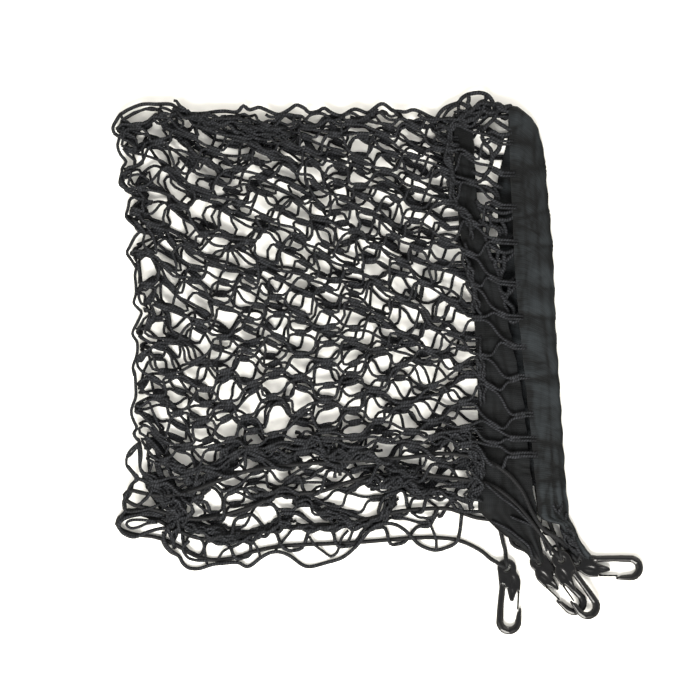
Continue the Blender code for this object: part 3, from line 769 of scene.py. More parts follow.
def yarnMaterial(name, pattern):
    made, tree, shader = newMaterial(name)
    shader.inputs["Roughness"].default_value = 0.8
    shader.inputs["Specular IOR Level"].default_value = 0.12
    stitch = pattern(tree)
    surface = addNode(tree, "ShaderNodeNewGeometry")
    facing = addNode(tree, "ShaderNodeSeparateXYZ", Vector=surface.outputs["Normal"])
    # painted highlight: the more the yarn faces up, the lighter it is painted
    crown = addNode(tree, "ShaderNodeMapRange", {"From Min": yarn["crown"][0], "From Max": yarn["crown"][1]},
                    Value=facing.outputs["Z"])
    where = addNode(tree, "ShaderNodeTexCoord")
    patches = addNode(tree, "ShaderNodeTexNoise", dict(Scale=yarn["wear"], Detail=3.0),
                      Vector=where.outputs["Object"])
    worn = addNode(tree, "ShaderNodeMapRange", {"From Min": yarn["worn"][0], "From Max": yarn["worn"][1],
                                                "To Min": yarn["leastWorn"]}, Value=patches.outputs["Fac"])
    # up-facing stitches carry the painted highlight, mixed with lint in random patches of wear
    litStitches = addNode(tree, "ShaderNodeMath", dict(operation="MULTIPLY"), (crown.outputs["Result"], stitch))
    highlightAndLint = addNode(tree, "ShaderNodeMath", dict(operation="MULTIPLY"),
                   (litStitches.outputs["Value"], worn.outputs["Result"]))
    shade = addNode(tree, "ShaderNodeValToRGB", Fac=highlightAndLint.outputs["Value"])
    for stop, tone in zip(shade.color_ramp.elements, yarn["tones"]):
        stop.color = hexColour(tone)
    tree.links.new(shade.outputs["Color"], shader.inputs["Base Color"])
    bump = addNode(tree, "ShaderNodeBump", dict(Strength=0.7, Distance=yarn["stitchDepth"]), Height=stitch)
    tree.links.new(bump.outputs["Normal"], shader.inputs["Normal"])
    return made


def strandStitches(tree):
    return twist(tree, net["stitch"], 2)


# where two strands are worked together the stitches lie closer and less in order
def jointStitches(tree):
    where = addNode(tree, "ShaderNodeTexCoord")
    return addNode(tree, "ShaderNodeTexWave",
                   dict(bands_direction="DIAGONAL", Scale=yarn["waveLength"] / net["stitch"],
                        Distortion=6.0, Detail=2.0), Vector=where.outputs["Object"]).outputs["Fac"]


# the knitted joints: where two strands are worked together they make one thick, slanting lozenge
def buildJoints(joints, turns, material):
    rng = np.random.default_rng(net["seed"] + 2)
    bm = bmesh.new()
    bmesh.ops.create_uvsphere(bm, u_segments=8, v_segments=7, radius=1.0,
                              matrix=Matrix.Rotation(math.pi / 2, 4, "Y"))
    # a sphere's faces come in another order each run, so they are put in one that stays
    bm.verts.index_update()
    bm.faces.sort(key=lambda face: sum(2 ** vert.index for vert in face.verts))
    lozenge = bpy.data.meshes.new("lozenge")
    bm.to_mesh(lozenge)
    bm.clear()
    share, halfWidth, halfHeight = net["lozenge"]
    keys = sorted(joints)
    at = np.array([joints[key] for key in keys])
    turn = np.array([turns[key] for key in keys])
    along = np.column_stack([np.cos(turn), np.sin(turn)]) * (net["jointLength"] * share)
    middle, start, end = (meshPlace(p[:, 0], p[:, 1]) for p in (at, at - along, at + along))
    for place, first, last in zip(middle, start, end):
        run = Vector(last - first)
        run.z /= 2
        turned = run.to_track_quat("X", "Z").to_matrix().to_4x4()
        breadth = halfWidth * rng.uniform(*net["lozengeVaries"])
        size = Matrix.Diagonal((run.length / 2, breadth, halfHeight, 1.0))
        lift = Matrix.Translation(Vector((place[0], place[1], max(place[2], halfHeight + floorGap))))
        joint = lozenge.copy()
        joint.transform(lift @ turned @ size)
        lowest = min(vert.co.z for vert in joint.vertices)
        joint.transform(Matrix.Translation((0.0, 0.0, max(floorGap / 2 - lowest, 0.0))))
        bm.from_mesh(joint)
        bpy.data.meshes.remove(joint)
    mesh = bpy.data.meshes.new("mesh_joints")
    bm.to_mesh(mesh)
    bm.free()
    mesh.shade_smooth()
    obj = linkObject("mesh_joints", mesh)
    finishPiece(obj, "root", material)


def buildNet():
    joints, turns = meshJoints()
    rng = np.random.default_rng(net["seed"] + 1)
    sheets = {"front": [], "back": []}
    radii = {"front": [], "back": []}
    backEnd = -net["backRows"] * net["rowPitch"] - net["hemTuck"]
    frontEnd = net["frontRows"] * net["rowPitch"] + net["hemTuck"]
    for number in range(-net["lowerStrands"], net["upperStrands"]):
        run, phases, swell = strandRun(number, joints, turns, rng)
        run = np.vstack([(min(backEnd, run[0][0] - net["endRun"]), run[0][1]), run,
                         (max(frontEnd, run[-1][0] + net["endRun"]), run[-1][1])])
        phases = np.concatenate([[0.0], phases, [0.0]])
        swell = np.concatenate([[1.0], swell, [1.0]])
        places = roundElastic(number, meshPlace(run[:, 0], run[:, 1]), run, phases)
        middle = int(np.abs(run[:, 0]).argmin())
        border = number in (-net["lowerStrands"], net["upperStrands"] - 1)
        radius = swell * net["strand"] / 2 * (net["borderSwell"] if border else 1.0)
        places[:, 2] = np.maximum(places[:, 2], radius + floorGap)
        sheets["back"].append(places[:middle + 1])
        sheets["front"].append(places[middle:])
        radii["back"].append(radius[:middle + 1])
        radii["front"].append(radius[middle:])
    material = yarnMaterial("knitted polyester yarn", strandStitches)
    buildJoints(joints, turns, yarnMaterial("knitted polyester joint", jointStitches))
    for name, paths in sheets.items():
        obj = tubeMesh(f"{name}_mesh", paths, radii[name])
        finishPiece(obj, "root", material)
        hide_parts("net")


# the thick border of the front sheet, slack below the lowest elastic, and strands that tie it in
looseStrands = dict(
    strand=0.0023,           # thickness of a tying strand
    border=0.0031,           # and of the border
    spacing=0.0022,
)
borderRope = (
    (-0.1660, -0.1290, 0.0050), (-0.1714, -0.1369, 0.0048), (-0.1723, -0.1428, 0.0034),
    (-0.1672, -0.1500, 0.0018), (-0.1600, -0.1540, 0.0017), (-0.1570, -0.1594, 0.0017),
    (-0.1520, -0.1634, 0.0017), (-0.1438, -0.1639, 0.0017), (-0.1336, -0.1606, 0.0036),
    (-0.1234, -0.1594, 0.0040), (-0.1131, -0.1588, 0.0034), (-0.1060, -0.1624, 0.0017),
    (-0.1009, -0.1604, 0.0018), (-0.0948, -0.1553, 0.0036), (-0.0866, -0.1508, 0.0048),
    (-0.0784, -0.1506, 0.0040), (-0.0704, -0.1542, 0.0020), (-0.0622, -0.1604, 0.0017),
    (-0.0552, -0.1624, 0.0017), (-0.0428, -0.1594, 0.0017), (-0.0296, -0.1552, 0.0018),
    (-0.0194, -0.1470, 0.0044), (-0.0144, -0.1410, 0.0050), (-0.0061, -0.1316, 0.0058),
    (0.0020, -0.1276, 0.0068), (0.0123, -0.1282, 0.0066), (0.0205, -0.1328, 0.0052),
    (0.0264, -0.1388, 0.0048), (0.0328, -0.1450, 0.0022), (0.0440, -0.1492, 0.0017),
    (0.0542, -0.1470, 0.0018), (0.0613, -0.1428, 0.0044), (0.0643, -0.1348, 0.0050),
    (0.0659, -0.1196, 0.0048),
)
tyingStrands = (
    ((0.0256, -0.1185, 0.0058), (0.0317, -0.1226, 0.0050), (0.0378, -0.1236, 0.0044),
     (0.0419, -0.1308, 0.0034), (0.0450, -0.1388, 0.0046), (0.0458, -0.1450, 0.0030),
     (0.0456, -0.1492, 0.0018)),
    ((0.0378, -0.1236, 0.0044), (0.0439, -0.1216, 0.0050), (0.0470, -0.1160, 0.0064)),
    ((-0.0560, -0.1380, 0.0030), (-0.0510, -0.1450, 0.0046), (-0.0448, -0.1500, 0.0020),
     (-0.0387, -0.1542, 0.0014), (-0.0336, -0.1511, 0.0014), (-0.0316, -0.1450, 0.0040),
     (-0.0296, -0.1388, 0.0040), (-0.0244, -0.1330, 0.0040)),
    ((-0.0275, -0.1470, 0.0014), (-0.0235, -0.1400, 0.0030), (-0.0184, -0.1308, 0.0064),
     (-0.0020, -0.1246, 0.0072)),
    ((-0.1540, -0.1428, 0.0020), (-0.1520, -0.1379, 0.0040), (-0.1458, -0.1379, 0.0060),
     (-0.1408, -0.1420, 0.0046), (-0.1392, -0.1500, 0.0036), (-0.1376, -0.1600, 0.0016)),
    ((-0.1285, -0.1560, 0.0046), (-0.1234, -0.1491, 0.0034), (-0.1131, -0.1450, 0.0024),
     (-0.1090, -0.1420, 0.0040), (-0.1050, -0.1399, 0.0060), (-0.1009, -0.1420, 0.0050),
     (-0.0968, -0.1481, 0.0046), (-0.0950, -0.1540, 0.0030)),
    ((-0.0700, -0.1330, 0.0064), (-0.0745, -0.1390, 0.0034), (-0.0800, -0.1450, 0.0020),
     (-0.0830, -0.1500, 0.0044)),
    ((-0.1944, -0.0532, 0.0100), (-0.1944, -0.0580, 0.0100), (-0.1905, -0.0619, 0.0100),
     (-0.1968, -0.0677, 0.0090), (-0.2007, -0.0736, 0.0080), (-0.2011, -0.0813, 0.0080),
     (-0.1968, -0.0871, 0.0080), (-0.1939, -0.0920, 0.0080), (-0.1977, -0.0968, 0.0100),
     (-0.2007, -0.1036, 0.0118), (-0.2036, -0.1104, 0.0110), (-0.2022, -0.1172, 0.0080),
     (-0.1958, -0.1180, 0.0080), (-0.1832, -0.1153, 0.0110), (-0.1735, -0.1114, 0.0090)),
    ((-0.1905, -0.0619, 0.0090), (-0.1892, -0.0726, 0.0100), (-0.1902, -0.0823, 0.0100),
     (-0.1871, -0.0871, 0.0100), (-0.1822, -0.0920, 0.0100), (-0.1803, -0.0997, 0.0130),
     (-0.1851, -0.1075, 0.0140), (-0.1919, -0.1124, 0.0130)),
    ((-0.1910, -0.0629, 0.0100), (-0.1924, -0.0658, 0.0100), (-0.1975, -0.0722, 0.0090),
     (-0.2007, -0.0745, 0.0080)),
    ((-0.1871, -0.0871, 0.0090), (-0.1784, -0.0900, 0.0110), (-0.1716, -0.0968, 0.0110)),
    ((-0.2055, -0.1230, 0.0070), (-0.1958, -0.1211, 0.0070), (-0.1832, -0.1182, 0.0080),
     (-0.1725, -0.1211, 0.0080)),
)
# strands that lie over the folded mesh and between the hems: thickness, height of the first and of
# the last point, points
layingStrands = (
    (0.0026, 0.0080, 0.0080, ((-0.2066, 0.1808), (-0.2084, 0.1737), (-0.2062, 0.1668), (-0.2016, 0.1608),
      (-0.2046, 0.1560), (-0.2050, 0.1522), (-0.2066, 0.1430), (-0.2010, 0.1390), (-0.1938, 0.1337),
      (-0.1985, 0.1308), (-0.2000, 0.1240), (-0.2016, 0.1172), (-0.1970, 0.1120), (-0.1905, 0.1062),
      (-0.1945, 0.1010), (-0.1990, 0.0925), (-0.2009, 0.0880), (-0.1970, 0.0820), (-0.1934, 0.0762))),
    (0.0025, 0.0070, 0.0080, ((-0.1960, 0.0800), (-0.1934, 0.0775), (-0.1946, 0.0708), (-0.1940, 0.0640),
      (-0.1938, 0.0555), (-0.1956, 0.0484), (-0.1920, 0.0440), (-0.1893, 0.0405), (-0.1925, 0.0330),
      (-0.1966, 0.0241), (-0.1930, 0.0175), (-0.1925, 0.0116), (-0.1935, 0.0050), (-0.1962, -0.0026),
      (-0.1950, -0.0098))),
    (0.0026, 0.0080, 0.0080, ((-0.1962, -0.0040), (-0.1945, -0.0085), (-0.1940, -0.0180), (-0.1940, -0.0268),
      (-0.1975, -0.0376), (-0.1956, -0.0455), (-0.1930, -0.0512), (-0.1956, -0.0555), (-0.1935, -0.0595),
      (-0.1905, -0.0625))),
    (0.0023, 0.0100, 0.0100, ((-0.2060, 0.1990), (-0.2040, 0.1945), (-0.2010, 0.1925), (-0.1985, 0.1900),
      (-0.1990, 0.1860), (-0.2020, 0.1830), (-0.2050, 0.1815))),
    (0.0030, 0.0080, 0.0080, ((-0.2030, 0.1790), (-0.2066, 0.1808), (-0.2105, 0.1830), (-0.2120, 0.1862),
      (-0.2118, 0.1894), (-0.2088, 0.1944), (-0.2062, 0.1985), (-0.2044, 0.1995), (-0.1992, 0.2026),
      (-0.1888, 0.2065), (-0.1775, 0.2066),
      (-0.1662, 0.2066), (-0.1610, 0.2034), (-0.1558, 0.2011), (-0.1506, 0.1993), (-0.1402, 0.1993),
      (-0.1307, 0.2006), (-0.1228, 0.2011), (-0.1159, 0.2002), (-0.1120, 0.2011), (-0.1081, 0.2054),
      (-0.1042, 0.2023), (-0.1003, 0.2028), (-0.0959, 0.2042), (-0.0916, 0.2028), (-0.0872, 0.2007),
      (-0.0801, 0.1984), (-0.0729, 0.2015), (-0.0668, 0.2058), (-0.0648, 0.2060), (-0.0596, 0.2035),
      (-0.0556, 0.1999), (-0.0484, 0.2012), (-0.0438, 0.2035), (-0.0382, 0.1999), (-0.0311, 0.1974),
      (-0.0260, 0.1994), (-0.0239, 0.2009), (-0.0188, 0.2027), (-0.0117, 0.2002), (-0.0110, 0.1995),
      (-0.0077, 0.2004), (-0.0036, 0.2036), (0.0005, 0.2065), (0.0037, 0.2068), (0.0074, 0.2042),
      (0.0111, 0.2014), (0.0160, 0.2009), (0.0209, 0.2004), (0.0274, 0.2022), (0.0339, 0.1999),
      (0.0388, 0.1973), (0.0421, 0.1959), (0.0462, 0.1946))),
    (0.0025, 0.0095, 0.0095, ((-0.0903, 0.1984), (-0.0872, 0.1964), (-0.0821, 0.1964), (-0.0780, 0.1979),
      (-0.0719, 0.1984), (-0.0668, 0.1974), (-0.0617, 0.1969), (-0.0586, 0.1943), (-0.0566, 0.1964),
      (-0.0535, 0.1984), (-0.0464, 0.1992), (-0.0413, 0.1969), (-0.0372, 0.1933), (-0.0331, 0.1943),
      (-0.0301, 0.1958), (-0.0260, 0.1984), (-0.0214, 0.1994), (-0.0158, 0.1964), (-0.0117, 0.1958),
      (-0.0072, 0.1974), (-0.0035, 0.1984))),
    (0.0025, 0.0100, 0.0100, ((-0.0841, 0.1923), (-0.0811, 0.1948), (-0.0770, 0.1974))),
    (0.0025, 0.0100, 0.0100, ((-0.0673, 0.1979), (-0.0683, 0.1923), (-0.0668, 0.1882))),
    (0.0030, 0.0100, 0.0100, ((-0.0596, 0.1953), (-0.0566, 0.1912), (-0.0515, 0.1897), (-0.0464, 0.1902),
      (-0.0433, 0.1933), (-0.0382, 0.1938), (-0.0321, 0.1902), (-0.0270, 0.1902), (-0.0234, 0.1902),
      (-0.0158, 0.1912), (-0.0117, 0.1943), (-0.0072, 0.1964))),
    (0.0025, 0.0100, 0.0100, ((-0.0311, 0.1964), (-0.0313, 0.1933), (-0.0290, 0.1902))),
    (0.0023, 0.0100, 0.0100, ((-0.1749, 0.2043), (-0.1688, 0.2026), (-0.1628, 0.1995), (-0.1576, 0.1974),
      (-0.1506, 0.1960), (-0.1428, 0.1943))),
    (0.0023, 0.0100, 0.0100, ((-0.1506, 0.1993), (-0.1437, 0.1965), (-0.1333, 0.1943), (-0.1263, 0.1947),
      (-0.1185, 0.1934), (-0.1116, 0.1965), (-0.1081, 0.1987), (-0.1046, 0.1969), (-0.0994, 0.1921),
      (-0.0933, 0.1913), (-0.0873, 0.1934), (-0.0795, 0.1921), (-0.0725, 0.1900), (-0.0631, 0.1934))),
    (0.0023, 0.0110, 0.0110, ((-0.1645, 0.1991), (-0.1671, 0.1943), (-0.1706, 0.1917), (-0.1758, 0.1908),
      (-0.1792, 0.1952), (-0.1771, 0.1987))),
    (0.0023, 0.0110, 0.0110, ((-0.1610, 0.1969), (-0.1558, 0.1917), (-0.1584, 0.1874), (-0.1645, 0.1856),
      (-0.1697, 0.1882))),
    (0.0026, 0.0090, 0.0090, ((-0.0232, 0.1967), (-0.0175, 0.1950), (-0.0118, 0.1942), (-0.0069, 0.1975),
      (-0.0036, 0.2008), (-0.0012, 0.2032))),
    (0.0026, 0.0090, 0.0100, ((-0.0085, 0.1942), (-0.0028, 0.1918), (0.0037, 0.1910), (0.0103, 0.1900),
      (0.0135, 0.1926), (0.0160, 0.1963), (0.0139, 0.1987), (0.0103, 0.2024))),
    (0.0026, 0.0090, 0.0100, ((0.0160, 0.1967), (0.0192, 0.1950), (0.0250, 0.1924), (0.0307, 0.1941),
      (0.0356, 0.1950), (0.0421, 0.1942), (0.0486, 0.1942), (0.0552, 0.1955))),
    (0.0026, 0.0100, 0.0100, ((0.0307, 0.1983), (0.0339, 0.1963), (0.0376, 0.1946), (0.0413, 0.1922),
      (0.0462, 0.1926))),
    (0.0034, 0.0080, 0.0080, ((0.0458, 0.1955), (0.0486, 0.1999), (0.0519, 0.2032), (0.0572, 0.2058),
      (0.0633, 0.2079), (0.0658, 0.2112), (0.0699, 0.2140), (0.0748, 0.2153), (0.0805, 0.2158),
      (0.0858, 0.2141), (0.0890, 0.2110), (0.0911, 0.2065), (0.0927, 0.1991))),
    (0.0026, 0.0085, 0.0100, ((0.0511, 0.1950), (0.0523, 0.1983), (0.0552, 0.2016), (0.0592, 0.2044),
      (0.0633, 0.2065))),
    (0.0026, 0.0080, 0.0110, ((0.0629, 0.2077), (0.0633, 0.2016), (0.0629, 0.1946))),
    (0.0034, 0.0080, 0.0110, ((0.0637, 0.2077), (0.0674, 0.2065), (0.0703, 0.2040), (0.0715, 0.2008),
      (0.0723, 0.1959))),
    (0.0034, 0.0085, 0.0100, ((0.0850, 0.2130), (0.0850, 0.2097), (0.0805, 0.2081), (0.0768, 0.2044),
      (0.0743, 0.2024), (0.0707, 0.2065), (0.0715, 0.2106), (0.0707, 0.2138))),
    (0.0034, 0.0085, 0.0100, ((0.0805, 0.2069), (0.0854, 0.2065), (0.0911, 0.2061), (0.0952, 0.2069),
      (0.0976, 0.2044))),
    (0.0040, 0.0100, 0.0100, ((0.0943, 0.2065), (0.0952, 0.2032), (0.0992, 0.2016), (0.1048, 0.1999))),
    (0.0034, 0.0100, 0.0100, ((0.0813, 0.1836), (0.0854, 0.1893), (0.0911, 0.1946), (0.0935, 0.1991),
      (0.0943, 0.2032))),
    (0.0034, 0.0100, 0.0110, ((0.0911, 0.1946), (0.0960, 0.1910), (0.1025, 0.1869), (0.1058, 0.1861))),
    (0.0034, 0.0100, 0.0110, ((0.0805, 0.1820), (0.0862, 0.1828), (0.0903, 0.1848), (0.0952, 0.1820),
      (0.1009, 0.1820), (0.1058, 0.1836))),
    (0.0034, 0.0105, 0.0075, ((0.0813, 0.1812), (0.0846, 0.1746), (0.0886, 0.1706), (0.0899, 0.1640),
      (0.0886, 0.1567), (0.0854, 0.1510), (0.0797, 0.1501))),
    (0.0026, 0.0100, 0.0085, ((0.0903, 0.1836), (0.0894, 0.1787), (0.0866, 0.1755), (0.0821, 0.1746))),
    (0.0040, 0.0100, 0.0090, ((0.0992, 0.1820), (0.0968, 0.1771), (0.0952, 0.1706), (0.0911, 0.1657),
      (0.0886, 0.1608))),
    (0.0034, 0.0105, 0.0070, ((0.0739, 0.1534), (0.0780, 0.1510), (0.0829, 0.1493), (0.0870, 0.1469),
      (0.0927, 0.1420), (0.0984, 0.1404))),
    (0.0026, 0.0105, 0.0070, ((0.0788, 0.1444), (0.0846, 0.1469), (0.0903, 0.1444), (0.0952, 0.1420))),
    (0.0034, 0.0105, 0.0070, ((0.0764, 0.1469), (0.0780, 0.1412), (0.0846, 0.1408), (0.0903, 0.1371),
      (0.0935, 0.1322), (0.0911, 0.1273), (0.0854, 0.1240), (0.0797, 0.1265))),
    (0.0034, 0.0075, 0.0075, ((0.0911, 0.1412), (0.0943, 0.1346), (0.0952, 0.1306), (0.0919, 0.1257),
      (0.0886, 0.1199))),
    (0.0034, 0.0105, 0.0075, ((0.0772, 0.1297), (0.0805, 0.1248), (0.0821, 0.1199))),
    (0.0034, 0.0105, 0.0080, ((0.0775, 0.1279), (0.0818, 0.1251), (0.0875, 0.1244), (0.0911, 0.1226),
      (0.0954, 0.1204), (0.1011, 0.1201), (0.1096, 0.1233))),
    (0.0034, 0.0080, 0.0080, ((0.0932, 0.1337), (0.0925, 0.1279), (0.0904, 0.1233), (0.0875, 0.1215),
      (0.0839, 0.1215))),
    (0.0026, 0.0105, 0.0080, ((0.0782, 0.1244), (0.0811, 0.1229), (0.0839, 0.1190), (0.0875, 0.1172),
      (0.0889, 0.1122), (0.0882, 0.1087))),
    (0.0034, 0.0105, 0.0075, ((0.0875, 0.1194), (0.0896, 0.1158), (0.0932, 0.1140), (0.0975, 0.1147),
      (0.1025, 0.1144), (0.1096, 0.1190))),
    (0.0034, 0.0105, 0.0080, ((0.0796, 0.1144), (0.0814, 0.1122), (0.0846, 0.1108), (0.0868, 0.1080),
      (0.0857, 0.1030), (0.0875, 0.0987), (0.0904, 0.0965))),
    (0.0034, 0.0085, 0.0075, ((0.0875, 0.1101), (0.0925, 0.1087), (0.0957, 0.1058), (0.0964, 0.1022),
      (0.0939, 0.0987), (0.0918, 0.0951))),
    (0.0034, 0.0075, 0.0075, ((0.0968, 0.1144), (0.0996, 0.1101), (0.1011, 0.1051), (0.1018, 0.0994),
      (0.1093, 0.1030))),
    (0.0026, 0.0080, 0.0075, ((0.0946, 0.1087), (0.0968, 0.1087), (0.0989, 0.1051), (0.0968, 0.1030))),
    (0.0034, 0.0100, 0.0075, ((0.0839, 0.1022), (0.0861, 0.0972), (0.0889, 0.0937), (0.0939, 0.0908),
      (0.0982, 0.0887), (0.1025, 0.0887), (0.1096, 0.0915))),
    (0.0034, 0.0080, 0.0075, ((0.0904, 0.0958), (0.0939, 0.0915), (0.0946, 0.0872), (0.0939, 0.0830),
      (0.0968, 0.0815), (0.1011, 0.0822), (0.1096, 0.0897))),
    (0.0034, 0.0100, 0.0080, ((0.0854, 0.0951), (0.0875, 0.0894), (0.0889, 0.0844), (0.0925, 0.0815),
      (0.0925, 0.0765), (0.0954, 0.0744), (0.0982, 0.0758))),
    (0.0040, 0.0080, 0.0070, ((0.0996, 0.0872), (0.0996, 0.0822), (0.0996, 0.0765), (0.0975, 0.0723),
      (0.0968, 0.0665), (0.0989, 0.0644), (0.1032, 0.0644), (0.1104, 0.0694))),
    (0.0034, 0.0090, 0.0075, ((0.0911, 0.0808), (0.0939, 0.0737), (0.0954, 0.0665), (0.0954, 0.0608),
      (0.0982, 0.0565), (0.1032, 0.0558), (0.1111, 0.0644))),
    (0.0034, 0.0075, 0.0075, ((0.1032, 0.0665), (0.1039, 0.0608), (0.1025, 0.0551), (0.1004, 0.0508),
      (0.0996, 0.0465), (0.1025, 0.0416), (0.1032, 0.0358), (0.1068, 0.0330), (0.1132, 0.0358))),
    (0.0034, 0.0080, 0.0075, ((0.0968, 0.0558), (0.0996, 0.0515), (0.1032, 0.0480), (0.1068, 0.0444),
      (0.1082, 0.0380), (0.1132, 0.0416))),
    (0.0020, 0.0150, 0.0110, ((0.0846, -0.0957), (0.0907, -0.1010), (0.0968, -0.1064), (0.1022, -0.1102),
      (0.1083, -0.1148), (0.1136, -0.1202), (0.1190, -0.1255), (0.1236, -0.1301), (0.1274, -0.1347),
      (0.1305, -0.1408), (0.1335, -0.1492))),
    (0.0022, 0.0110, 0.0100, ((0.0891, -0.1255), (0.0968, -0.1286), (0.1045, -0.1332), (0.1121, -0.1393),
      (0.1190, -0.1454), (0.1221, -0.1546))),
    (0.0020, 0.0105, 0.0110, ((0.1045, -0.1217), (0.1106, -0.1244), (0.1159, -0.1263), (0.1213, -0.1290),
      (0.1274, -0.1324))),
    (0.0012, 0.0085, 0.0070, ((0.1328, -0.1202), (0.1351, -0.1247), (0.1370, -0.1290))),
    (0.0012, 0.0085, 0.0070, ((0.1366, -0.1209), (0.1385, -0.1247), (0.1408, -0.1267))),
    (0.0012, 0.0085, 0.0060, ((0.1290, -0.1202), (0.1293, -0.1270), (0.1278, -0.1324))),
    (0.0022, 0.0060, 0.0060, ((0.1343, -0.1477), (0.1397, -0.1458), (0.1443, -0.1447), (0.1504, -0.1477))),
    (0.0022, 0.0070, 0.0060, ((0.1290, -0.1347), (0.1313, -0.1408), (0.1351, -0.1469), (0.1374, -0.1531))),
    (0.0030, 0.0100, 0.0110, ((-0.1918, -0.0915), (-0.1849, -0.0938), (-0.1803, -0.0970),
      (-0.1739, -0.0998))),
    (0.0026, 0.0080, 0.0100, ((-0.1909, -0.1126), (-0.1849, -0.1062), (-0.1794, -0.1016),
      (-0.1748, -0.1007))),
    (0.0030, 0.0080, 0.0080, ((-0.2005, -0.0814), (-0.1955, -0.0874), (-0.1918, -0.0915),
      (-0.1964, -0.0956), (-0.1978, -0.1025), (-0.2023, -0.1099), (-0.2023, -0.1163))),
    (0.0026, 0.0090, 0.0100, ((-0.1918, -0.0630), (-0.1909, -0.0722), (-0.1904, -0.0814),
      (-0.1886, -0.0869), (-0.1840, -0.0924))),
    (0.0030, 0.0075, 0.0075, ((-0.1748, -0.1214), (-0.1849, -0.1200), (-0.1968, -0.1214),
      (-0.2046, -0.1246), (-0.2074, -0.1296), (-0.2033, -0.1356), (-0.1950, -0.1383), (-0.1858, -0.1347),
      (-0.1766, -0.1319), (-0.1693, -0.1310))),
    (0.0024, 0.0085, 0.0085, ((-0.1785, -0.1255), (-0.1876, -0.1246), (-0.1968, -0.1246),
      (-0.2014, -0.1273), (-0.1978, -0.1310), (-0.1913, -0.1301), (-0.1849, -0.1273), (-0.1766, -0.1264))),
    (0.0030, 0.0060, 0.0060, ((-0.1720, -0.1338), (-0.1711, -0.1420), (-0.1656, -0.1494),
      (-0.1601, -0.1530))),
    (0.0026, 0.0090, 0.0090, ((-0.1509, -0.1411), (-0.1564, -0.1466), (-0.1527, -0.1540),
      (-0.1454, -0.1567), (-0.1371, -0.1567))),
)


